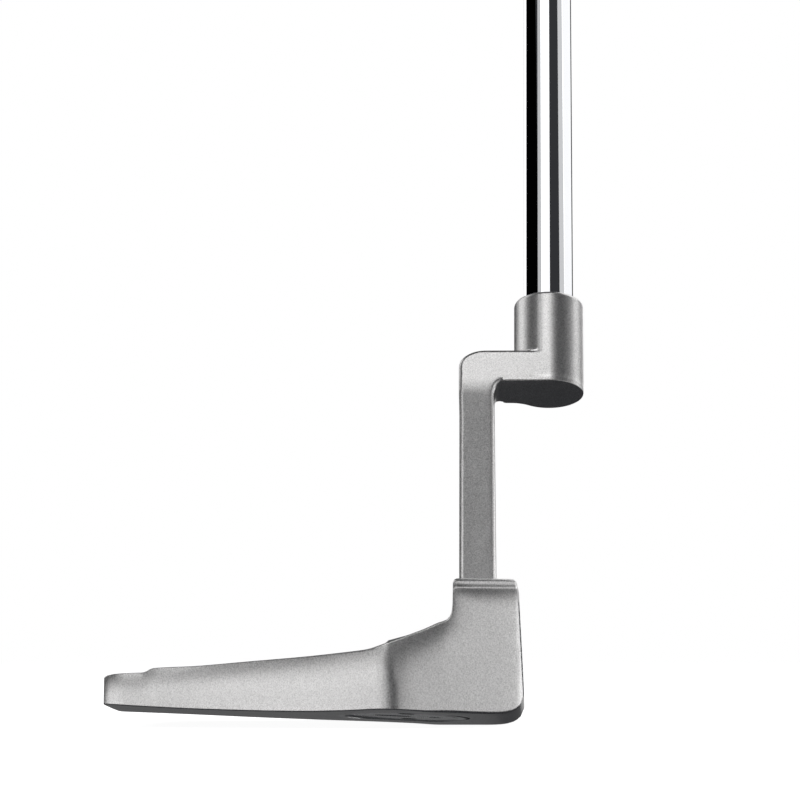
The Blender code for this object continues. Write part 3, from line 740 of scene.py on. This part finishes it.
# the neck is drawn straight, as x, q (across) and s (up the shaft's axis) from the arm's underside,
# and its post is then bent from the shaft's lean to its own
NECK_Y, NECK_Z = 34.0, 61.8
COLLAR_X, COLLAR_R, COLLAR_LEN, COLLAR_RIM = 4.6, 6.6, 18.8, 0.75
BORE_R, BORE_FLOOR = 5.5, 3.0
ARM_H, ARM_FRONT, ARM_BACK = 6.5, -6.5, 4.2
ARM_START, ARM_EASE = -4.1, 6.0
POST_X = (-12.3, -5.75)
POST_FLARE = 0.4
# the elbow: wide and low outside, tight inside, and the arm a touch wider than the post
ELBOW_WIDE, ELBOW_HIGH, ELBOW_IN, ELBOW_OUT = 5.0, 3.4, 1.3, 0.1
# the bend starts higher on the post than under the arm
BEND_TOP, BEND_LEN = -0.1, 2.0
BEND_RISE, RISE_X, RISE_RUN = 0.9, -3.0, 2.5
FOOT_Z = 25.55
SPIGOT, SPIGOT_HALF_X, SPIGOT_HALF_Q = 11.0, 2.3, 3.6
EDGE_R, UNDER_R, FILLET_R = 0.8, 0.3, 0.6
# a hair's width that keeps two flat faces apart in a boolean
HAIR = 0.004


def neck_point(x, q, s):
    """Carry a point from the neck's straight axes onto its bent line."""
    tilt = LIE_TILT
    y, z = NECK_Y, NECK_Z
    top = BEND_TOP + BEND_RISE * step01((RISE_X - x) / RISE_RUN)
    first = max(s, top)
    y += first * math.sin(tilt)
    z += first * math.cos(tilt)
    left = first - s
    if left > 0:
        span = min(left, BEND_LEN)
        steps = 24
        for k in range(steps):
            tilt = LIE_TILT + (POST_TILT - LIE_TILT) * (k + 0.5) / steps * span / BEND_LEN
            y -= span / steps * math.sin(tilt)
            z -= span / steps * math.cos(tilt)
        tilt = LIE_TILT + (POST_TILT - LIE_TILT) * span / BEND_LEN
        y -= (left - span) * math.sin(tilt)
        z -= (left - span) * math.cos(tilt)
    return x + LE, y + q * math.cos(tilt), z - q * math.sin(tilt)


def foot_s():
    """The s at which the post stands on the bumper."""
    s = BEND_TOP - BEND_LEN
    gap = neck_point(POST_X[0], (ARM_FRONT + ARM_BACK) / 2, s)[2] - FOOT_Z
    return s - gap / math.cos(POST_TILT)


def spigot_mesh(grow, top_z):
    """The post's peg in the head, from its end up to a height."""
    x_mid, q_mid = (POST_X[0] + POST_X[1]) / 2, (ARM_FRONT + ARM_BACK) / 2
    half_x, half_q = SPIGOT_HALF_X + grow, SPIGOT_HALF_Q + grow
    low = foot_s() - SPIGOT - grow
    high = low + (top_z - FOOT_Z + SPIGOT + grow) / math.cos(POST_TILT)
    outline = rounded_outline(box_outline(-half_x, half_x, -half_q, half_q), 1.0, 4)
    return loft([[neck_point(x_mid + x, q_mid + q, s) for x, q in outline] for s in (low, high)])


def arm_outline():
    """Plan of the arm and the collar's foot (x, q): flat front, round end, eased into the back."""
    reach = math.sqrt((COLLAR_R + ARM_EASE) ** 2 - (ARM_BACK + ARM_EASE) ** 2)
    meet = math.degrees(math.atan2(ARM_BACK + ARM_EASE, -reach))
    out = [(ARM_START, -COLLAR_R)]
    for a in arc(60, -90.0, meet):
        out.append((COLLAR_X + COLLAR_R * math.cos(a), COLLAR_R * math.sin(a)))
    for a in arc(14, meet - 180.0, -90.0)[1:]:
        out.append((COLLAR_X - reach + ARM_EASE * math.cos(a), ARM_BACK + ARM_EASE * (1 + math.sin(a))))
    return out + [(ARM_START, ARM_BACK)]


def post_outline():
    """Side view of post and elbow (x, s), up to the middle of the arm."""
    low = foot_s() - 3.0
    left, right = POST_X
    outer = left - ELBOW_OUT
    out = [(left, low), (right + POST_FLARE, low)]
    out += [(right + ELBOW_IN * (1 - math.cos(a)), ELBOW_IN * (math.sin(a) - 1)) for a in arc(9)]
    out += [(2.0, 0.0), (2.0, ARM_H)]
    for a in arc(12):
        out.append((outer + ELBOW_WIDE * (1 - math.sin(a)), ARM_H - ELBOW_HIGH * (1 - math.cos(a))))
    return out + [(outer, -1.0), (left, -5.0), (left, -9.0)]


def arm_block():
    """The arm as a loft of its plan, with a small edge below and a larger one above."""
    plan = arm_outline()
    layers = []
    for a in arc(4):
        layers.append(offset_list(plan, -UNDER_R * (1 - math.sin(a)), HAIR + UNDER_R * (1 - math.cos(a))))
    for a in arc(6)[::-1]:
        height = ARM_H - HAIR - EDGE_R * (1 - math.cos(a))
        layers.append(offset_list(plan, -EDGE_R * (1 - math.sin(a)), height))
    return loft(layers)


def collar_block():
    profile = [(0.0, EDGE_R + 0.4), (COLLAR_R, EDGE_R + 0.4)]
    for a in arc(7):
        height = COLLAR_LEN - COLLAR_RIM * (1 - math.sin(a))
        profile.append((COLLAR_R - COLLAR_RIM * (1 - math.cos(a)), height))
    return lathe(profile + [(0.0, COLLAR_LEN)], 128)


def fillet_ring(upright):
    """Fillet between arm and collar, kept within the arm's flat top."""
    profile = [(COLLAR_R - 1.0, ARM_H - 0.8), (COLLAR_R + FILLET_R, ARM_H - 0.8)]
    for a in arc(6):
        profile.append((COLLAR_R + FILLET_R * (1 - math.sin(a)), ARM_H + FILLET_R * (1 - math.cos(a))))
    profile += [(COLLAR_R - 1.0, ARM_H + FILLET_R)]
    ring = solid("fillet", lathe(profile + profile[:1], 128), "satin_steel", upright)
    inset = EDGE_R * 0.4
    footprint = box_outline(-20.0, COLLAR_X, -COLLAR_R + inset, ARM_BACK - inset)
    cut(ring, prism(footprint, 0.0, 12.0), operation="INTERSECT")
    return ring


def bore_cutter():
    flare, above = BORE_R + 0.3, COLLAR_LEN + 5
    profile = [(0.0, BORE_FLOOR), (BORE_R, BORE_FLOOR), (BORE_R, COLLAR_LEN - 0.35)]
    return lathe(profile + [(flare, COLLAR_LEN + 0.1), (flare, above), (0.0, above)], 128)


def slice_mesh(bm, spot, normal):
    """Give a mesh a row of points along a plane, so that it can bend there."""
    geom = bm.verts[:] + bm.edges[:] + bm.faces[:]
    bmesh.ops.bisect_plane(bm, geom=geom, plane_co=Vector(spot) * MM, plane_no=normal)


def bend_mesh(mesh):
    """Bend the straight neck, closely sliced at the bend and at the elbow."""
    bm = bmesh.new()
    bm.from_mesh(mesh)
    levels = [3.0, 2.0, 1.3]
    levels += [BEND_TOP + BEND_RISE - (BEND_LEN + BEND_RISE) * k / 24 for k in range(26)]
    levels += [BEND_TOP - BEND_LEN - 0.8, BEND_TOP - BEND_LEN - 3.0]
    for s in levels:
        slice_mesh(bm, (0, 0, s), (0, 0, 1))
    for x in [-11.5, -10.0, -8.5, -7.0] + [-6.0 + 0.3 * k for k in range(12)] + [-1.0, 0.5]:
        slice_mesh(bm, (x, 0, 0), (1, 0, 0))
    for vert in bm.verts:
        x, q, s = vert.co / MM
        vert.co = Vector(neck_point(x, q, s)) * MM
    bm.to_mesh(mesh)
    bm.free()


def make_neck():
    neck = solid("neck", prism(post_outline(), -COLLAR_R - HAIR, ARM_BACK + HAIR, "Y"), "satin_steel")
    bevel = neck.modifiers.new("edges", "BEVEL")
    bevel.width = EDGE_R * MM
    bevel.segments = 6
    bevel.limit_method = "ANGLE"
    bevel.angle_limit = math.radians(50)
    cut(neck, arm_block(), operation="UNION")
    upright = Matrix.Translation((COLLAR_X * MM, 0, 0))
    cut(neck, collar_block(), upright, "UNION")
    union_object(neck, fillet_ring(upright))
    cut(neck, bore_cutter(), upright)
    bend_mesh(neck.data)
    cut(neck, prism(box_outline(-40, 40, -10, 80), 0.0, FOOT_Z))
    cut(neck, spigot_mesh(0.0, FOOT_Z + 5.0), operation="UNION")
    return neck


def union_object(obj, other):
    """Join another object's solid into this one, and apply this one's modifiers."""
    mod = obj.modifiers.new("join", "BOOLEAN")
    mod.operation = "UNION"
    mod.solver = "EXACT"
    mod.object = other
    depsgraph = bpy.context.evaluated_depsgraph_get()
    result = bpy.data.meshes.new_from_object(obj.evaluated_get(depsgraph))
    obj.modifiers.clear()
    obj.data = result
    bpy.data.objects.remove(other)


def shaft_frame():
    """Frame on the shaft's axis at s = 0: Z up the shaft, X towards the target."""
    x, y, z = neck_point(COLLAR_X, 0.0, 0.0)
    return place(x, y, z, (0.0, math.sin(LIE_TILT), math.cos(LIE_TILT)))


# ------------------------------------------------------------------ shaft and grip

CLUB_LEN = 863.6
SHAFT_FOOT = 3.6
TIP_R, BUTT_R, WALL = 4.7, 7.3, 0.6
# the steps in the tube: first place, spacing, number and the length of each slope
FIRST_STEP, STEP_PITCH, STEP_COUNT, STEP_RUN = 250.0, 36.0, 8, 1.2
GRIP_LEN, CAP_T, GRIP_T = 266.0, 4.0, 1.2
GRIP_SIDES = 128


def butt_s():
    """The s of the club's butt end, with its length counted from the ground up the axis."""
    return CLUB_LEN - NECK_Z / math.cos(LIE_TILT)


def make_shaft():
    """Stepped tube: each step is a short eased slope."""
    top = butt_s() - CAP_T
    profile = [(TIP_R - 0.4, SHAFT_FOOT), (TIP_R, SHAFT_FOOT + 0.6)]
    profile += [(TIP_R, s) for s in range(20, int(FIRST_STEP) - 2, 12)]
    rise = (BUTT_R - TIP_R) / STEP_COUNT
    for k in range(STEP_COUNT):
        s = FIRST_STEP + STEP_PITCH * k
        low = TIP_R + rise * k
        for t in range(7):
            profile.append((low + rise * step01(t / 6), s - STEP_RUN * (1 - t / 6)))
        profile += [(low + rise, s + 12.0), (low + rise, s + 24.0)]
    last = FIRST_STEP + STEP_PITCH * STEP_COUNT
    profile += [(BUTT_R, top), (BUTT_R - WALL, top), (BUTT_R - WALL, last)]
    profile += [(TIP_R - WALL, FIRST_STEP), (TIP_R - WALL, SHAFT_FOOT)]
    tube = lathe(profile + profile[:1], 160)
    piece("shaft_tube", tube, "putter", "shaft_chrome", ["shaft"], shaft_frame())


def grip_section(s, inset):
    """Pistol grip outline at a distance up the shaft: flat towards -q, full behind."""
    t = (s - (butt_s() - GRIP_LEN)) / GRIP_LEN
    half = 10.7 + 2.9 * math.sin(min(1.0, t / 0.8) * math.pi / 2)
    back = 10.7 + 2.4 * t + 4.6 * math.exp(-((t - 0.9) / 0.17) ** 2)
    front = 10.3 + 1.2 * t
    points = []
    for k in range(GRIP_SIDES):
        a = 2 * math.pi * k / GRIP_SIDES
        c, d = math.cos(a), math.sin(a)
        reach = back if d > 0 else front
        if d < 0:
            d = -(1.0 - (1.0 + d) ** 1.7)
        points.append(((half - inset) * c, (reach - inset) * d, s))
    return points


def make_sleeve():
    """The grip's rubber sleeve: eased mouth, plain length, three grooves, and a bore for the shaft."""
    low, top = butt_s() - GRIP_LEN, butt_s() - CAP_T
    rows = [(low, 1.15), (low, 0.45), (low + 0.25, 0.15), (low + 0.8, 0.0)]
    pitch = 3.0
    rows += [(low + pitch * k, 0.0) for k in range(1, math.ceil((top - low - 4.0) / pitch))]
    for groove in (low + 7.0, low + 10.0, top - 12.0):
        rows = [row for row in rows if abs(row[0] - groove) > 0.9]
        rows += [(groove - 0.6, 0.0), (groove - 0.3, 0.22), (groove + 0.3, 0.22), (groove + 0.6, 0.0)]
    rows.sort(key=lambda row: row[0] if row[0] > low else low - row[1])
    rows += [(top - 1.0, 0.0), (top - 0.3, 0.12), (top, 0.35)]
    outer = [grip_section(s, inset) for s, inset in rows]
    inner = [grip_section(low + (top - low) * k / 40, GRIP_T) for k in range(40, -1, -1)]
    sleeve = solid("grip_sleeve", loft(outer + inner, closed=True), "grip_rubber", shaft_frame())
    hang(sleeve, "putter", ["grip_wrap"])


def make_cap():
    """The grip's end cap, with a rounded rim and a vent."""
    top, butt = butt_s() - CAP_T, butt_s()
    rows = [(top + GAP, 0.55), (top + GAP + 0.25, 0.2), (butt - 1.4, 0.2)]
    rows += [(butt - 0.9, 0.3), (butt - 0.4, 0.7), (butt, 1.4)]
    loops = [[(x, q, height) for x, q, s in grip_section(top, inset)] for height, inset in rows]
    cap = solid("grip_cap", loft(loops), "cap_rubber", shaft_frame())
    vent = [(0.0, top - 5), (1.3, top - 5), (1.3, butt - 0.3), (1.6, butt + 0.01), (1.6, top + 9)]
    cut(cap, lathe(vent + [(0.0, top + 9)], 48), shaft_frame())
    settle(cap, "putter", "cap_rubber", ["grip_end_cap"])


# ------------------------------------------------------------------ small pieces

# pitch of the weights' thread, places of spanner holes and marks on the disc
THREAD_PITCH = 1.25
SPANNER_Y, DOT_X = 6.6, 4.7


def make_insert():
    """Grooved polymer insert: a slab with nine rounded grooves cut into its face."""
    outline = insert_outline(0.0)
    slab = solid("insert", prism(outline, -INSERT_T, 0.0), "insert_polymer", face_frame())
    pitch, half_w, half_h = 1.6, INSERT_W / 2 - 3.5, 0.35
    for k in range(-4, 5):
        z = k * pitch
        groove = rounded_outline(box_outline(-half_w, half_w, z - half_h, z + half_h), 0.34, 4)
        layers = [(-0.12, -0.4), (0.0, -0.28), (0.1, 0.02), (0.1, 1.0)]
        cut(slab, loft([offset_list(groove, *layer) for layer in layers]), face_frame())
    settle(slab, "putter", "insert_polymer", ["face_insert"], 30.0)


def thread_mesh(root, crest, low, high):
    """Screw thread grid: a solid rod whose radius follows a helix and fades at both ends."""
    bm = bmesh.new()
    segments, per_turn = 72, 10
    count = round((high - low) / THREAD_PITCH * per_turn)
    rings = []
    for j in range(count + 1):
        s = low + (high - low) * j / count
        fade = min(1.0, (s - low) / (0.5 * THREAD_PITCH), (high - s) / (0.5 * THREAD_PITCH))
        ring = []
        for i in range(segments):
            phase = (s / THREAD_PITCH - i / segments) % 1.0
            rise = min(1.0, max(0.0, (0.5 - abs(phase - 0.5)) * 3.2 - 0.3))
            r = root + (crest - root) * rise * fade
            turn = 2 * math.pi * i / segments
            ring.append(bm.verts.new((r * math.cos(turn), r * math.sin(turn), s)))
        rings.append(ring)
    for one, two in zip(rings, rings[1:]):
        for i in range(segments):
            j = (i + 1) % segments
            bm.faces.new((one[i], one[j], two[j], two[i]))
    bm.faces.new(rings[0][::-1])
    bm.faces.new(rings[-1])
    return bm


def disc_mesh(face, under):
    """The weight's disc, turned with a rounded rim and a fine ring groove in its face."""
    profile = [(0.0, under - 0.8), (SHANK_R - 0.9, under - 0.8), (SHANK_R - 0.6, under)]
    profile += [(DISC_R - 0.2, under), (DISC_R, under + 0.2)]
    profile += [(DISC_R - 0.4 * (1 - math.cos(a)), face - 0.4 * (1 - math.sin(a))) for a in arc(5)]
    profile += [(DISC_R - 1.5, face), (DISC_R - 1.6, face - 0.06), (DISC_R - 1.8, face - 0.06)]
    return lathe(profile + [(DISC_R - 1.9, face), (0.0, face)], 144)


def make_weight(side):
    """Sole weight: turned disc with spanner holes and two filled recesses, on a threaded shank."""
    here = port_frame(side)
    dot_spot = here @ Matrix.Translation((DOT_X * MM, 0, 0))
    face = -DISC_SINK
    under = face - DISC_T
    body = solid(f"{side}_weight_disc", disc_mesh(face, under), "weight_steel", here)
    hole = [(0.0, face - 1.6), (1.0, face - 1.6), (1.25, face - 1.35), (1.25, face - 0.2)]
    hole += [(1.45, face + 0.02), (1.45, face + 1.0), (0.0, face + 1.0)]
    for y in (-SPANNER_Y, SPANNER_Y):
        cut(body, lathe(hole, 48), here @ Matrix.Translation((0, y * MM, 0)))
    grown = rounded_outline(box_outline(-5.6, 0.5, -1.2, 1.2), 1.1)
    layers = [(0.0, -1.0), (0.0, -0.12), (0.14, 0.02), (0.14, 1.0)]
    cut(body, loft([offset_list(grown, grow, face + rise) for grow, rise in layers]), here)
    round_recess = [(0.0, face - 1.0), (0.95, face - 1.0), (0.95, face - 0.12), (1.09, face + 0.02)]
    round_recess += [(1.09, face + 1.0), (0.0, face + 1.0)]
    cut(body, lathe(round_recess, 48), dot_spot)
    shank = thread_mesh(SHANK_R - 0.62, SHANK_R, under - SHANK_LEN, under - 0.4)
    cut(body, shank, here, "UNION")
    settle(body, f"{side}_weight", "weight_steel", [f"{side}_sole_weight"], 32.0)
    body.name = f"{side}_weight_screw"
    bar = rounded_outline(box_outline(-5.3, 0.2, -0.9, 0.9), 0.8)
    layers = [(-0.02, -0.7), (0.0, -0.14), (-0.05, -0.07), (-0.16, -0.05)]
    mark = loft([offset_list(bar, grow, face + rise) for grow, rise in layers])
    piece(f"{side}_mark_bar", mark, f"{side}_weight", "mark_blue", [f"{side}_weight_bar"], here)
    dot = [(0.0, face - 0.7), (0.65, face - 0.7), (0.65, face - 0.14), (0.6, face - 0.07)]
    dot = lathe(dot + [(0.5, face - 0.05), (0.0, face - 0.05)], 48)
    piece(f"{side}_mark_dot", dot, f"{side}_weight", "mark_blue", [f"{side}_weight_dot"], dot_spot)


settle(make_head(), "putter", "satin_steel", ["head_body"], bevel=0.22)
settle(make_neck(), "putter", "satin_steel", ["plumber_neck"], 32.0)
make_shaft()
make_sleeve()
make_cap()
make_insert()
make_weight("toe")
make_weight("heel")
piece("sight_paint_line", sight_block(GAP, -0.6, -0.1), "putter", "sight_paint", ["sight_line"])

# inner pieces keep their CAD shapes and get finer materials
CARRIED = {
    "insert_damping_pad": "damping_pad",
    "toe_weight_washer": "washer_nylon",
    "heel_weight_washer": "washer_nylon",
    "shaft_epoxy": "epoxy",
    "shaft_tip_plug": "plug_brass",
    "shaft_band": "band_film",
    "grip_tape": "tape_paper",
    "grip_underlisting": "eva_foam",
}
for node, slot in CARRIED.items():
    for material_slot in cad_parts[node].material_slots:
        material_slot.material = MATS[slot]

# ------------------------------------------------------------------ studio

# distance of the soft lights and the point they are turned to, in metres
LIGHT_FAR = 1.5
LIGHT_CENTRE = Vector((0.01, 0.02, 0.04))


def softbox(name, azimuths, heights, radiance, receivers):
    """A rectangular soft light, by its span in degrees as the head sees it (0 is the camera)."""
    azimuth, height = sum(azimuths) / 2, sum(heights) / 2
    a, e = math.radians(azimuth), math.radians(height)
    towards = Vector((math.cos(e) * math.sin(a), -math.cos(e) * math.cos(a), math.sin(e)))
    light = bpy.data.lights.new(name, "AREA")
    light.shape = "RECTANGLE"
    light.size = 2 * LIGHT_FAR * math.tan(math.radians(azimuths[1] - azimuths[0]) / 2) * math.cos(e)
    light.size_y = 2 * LIGHT_FAR * math.tan(math.radians(heights[1] - heights[0]) / 2)
    light.energy = radiance * 4 * light.size * light.size_y
    obj = link_object(name, light)
    obj.location = LIGHT_CENTRE + towards * LIGHT_FAR
    obj.rotation_mode = "QUATERNION"
    obj.rotation_quaternion = (-towards).to_track_quat("-Z", "Y")
    obj.visible_camera = False
    obj.light_linking.receiver_collection = receivers
    return obj


def receivers_of(name, obj, state):
    """A light's receivers: only this object, or all but this object."""
    group = bpy.data.collections.new(name)
    group.objects.link(obj)
    group.collection_objects[0].light_linking.link_state = state
    return group


tube = bpy.data.objects["shaft_tube"]
on_tube = receivers_of("tube_only", tube, "INCLUDE")
off_tube = receivers_of("all_but_tube", tube, "EXCLUDE")

softbox("key_high", (-34, 12), (28, 70), 1.18, off_tube)
softbox("key_low", (-58, -11), (-12, 17), 1.02, off_tube)
softbox("right_low", (27, 88), (-12, 18), 0.66, off_tube)
softbox("right_side", (88, 130), (-12, 12), 1.5, off_tube)
softbox("right_high", (97, 166), (18, 60), 1.0, off_tube)
softbox("left_high", (-128, -95), (12, 50), 1.1, off_tube)
softbox("back_left", (-136, -128), (-8, 50), 0.6, off_tube)
softbox("back_right", (152, 166), (-8, 18), 1.0, off_tube)
softbox("back_low", (-180, -140), (-24, -9), 0.15, off_tube)
softbox("back_low_right", (140, 180), (-24, -9), 0.03, off_tube)

softbox("tube_key", (-40, 4), (10, 62), 1.0, on_tube)
softbox("tube_key_edge", (-62, -40), (10, 62), 0.42, on_tube)
softbox("tube_right_edge", (66, 92), (0, 60), 0.5, on_tube)
softbox("tube_right", (92, 152), (-10, 60), 0.86, on_tube)
softbox("tube_left", (-170, -134), (-10, 60), 1.0, on_tube)


def make_flag():
    """Black card to the left, outside the view, which keeps that side of the tube dark."""
    bm = bmesh.new()
    far, panels = 2.1, 12
    curve = [(far * math.sin(a), -far * math.cos(a)) for a in arc(panels, -132, -64)]
    low, high = [[bm.verts.new((x, y, z)) for x, y in curve] for z in (-0.3, 1.8)]
    for i in range(panels):
        bm.faces.new((low[i], low[i + 1], high[i + 1], high[i]))
    mesh = bpy.data.meshes.new("flag")
    bm.to_mesh(mesh)
    bm.free()
    obj = link_object("flag", mesh)
    mat, kit, coords = new_material("flag_cloth")
    weave = kit.noise(coords, 300.0)
    kit.feed("Base Color", coloured(kit, weave, (0.001, 0.001, 0.001), (0.004, 0.004, 0.004)))
    kit.feed("Roughness", 1.0)
    kit.feed("Specular IOR Level", 0.0)
    mesh.materials.append(mat)
    obj.visible_camera = False
    obj.visible_shadow = False
    obj.visible_diffuse = False


def make_world():
    """Pale to the camera, dim to everything else."""
    world = bpy.data.worlds.new("studio")
    bpy.context.scene.world = world
    world.use_nodes = True
    world.node_tree.nodes.clear()
    kit = Nodes(world.node_tree)
    path = kit.add("ShaderNodeLightPath").outputs["Is Camera Ray"]
    dim = kit.add("ShaderNodeBackground", {"Color": (0.036, 0.037, 0.040, 1.0), "Strength": 1.0})
    pale = kit.add("ShaderNodeBackground", {"Color": (1.0, 1.0, 1.0, 1.0), "Strength": 1.0})
    mix = kit.add("ShaderNodeMixShader", {0: path, 1: dim.outputs[0], 2: pale.outputs[0]})
    kit.add("ShaderNodeOutputWorld", {"Surface": mix.outputs[0]})


def make_floor():
    """Pale paper sweep, a shade less bright near the head."""
    bm = bmesh.new()
    bmesh.ops.create_grid(bm, x_segments=2, y_segments=2, size=6.0)
    mesh = bpy.data.meshes.new("floor")
    bm.to_mesh(mesh)
    bm.free()
    obj = link_object("floor", mesh)
    obj.location.z = -0.02 * MM
    mat, kit, coords = new_material("floor_paper")
    fibre = kit.noise(coords, 60.0, 3.0)
    kit.feed("Base Color", coloured(kit, fibre, (0.90, 0.90, 0.90), (0.94, 0.94, 0.94)))
    kit.feed("Roughness", 0.9)
    kit.feed("Emission Color", (1.0, 1.0, 1.0, 1.0))
    away = kit.add("ShaderNodeVectorMath", {0: coords}, operation="LENGTH").outputs["Value"]
    kit.feed("Emission Strength", kit.remap(away, 0.15, 0.8, 0.94, 1.0))
    mesh.materials.append(mat)
    obj.visible_glossy = False
    obj.visible_diffuse = False


def make_camera():
    """Long lens close to the ground, turned 2 degrees left and 4 degrees up."""
    yaw, pitch = math.radians(2.0079), math.radians(3.8299)
    ahead = Vector((-math.sin(yaw) * math.cos(pitch), math.cos(yaw) * math.cos(pitch), math.sin(pitch)))
    data = bpy.data.cameras.new("camera")
    data.lens = 172.89
    data.sensor_width = 36.0
    data.clip_start = 0.01
    obj = link_object("camera", data)
    obj.location = (LE * MM + 0.00184, -0.695, 0.012)
    obj.rotation_mode = "QUATERNION"
    obj.rotation_quaternion = ahead.to_track_quat("-Z", "Y")
    bpy.context.scene.camera = obj


make_world()
make_flag()
make_floor()
make_camera()
bpy.context.scene.view_settings.view_transform = "Standard"
bpy.context.scene.view_settings.look = "None"
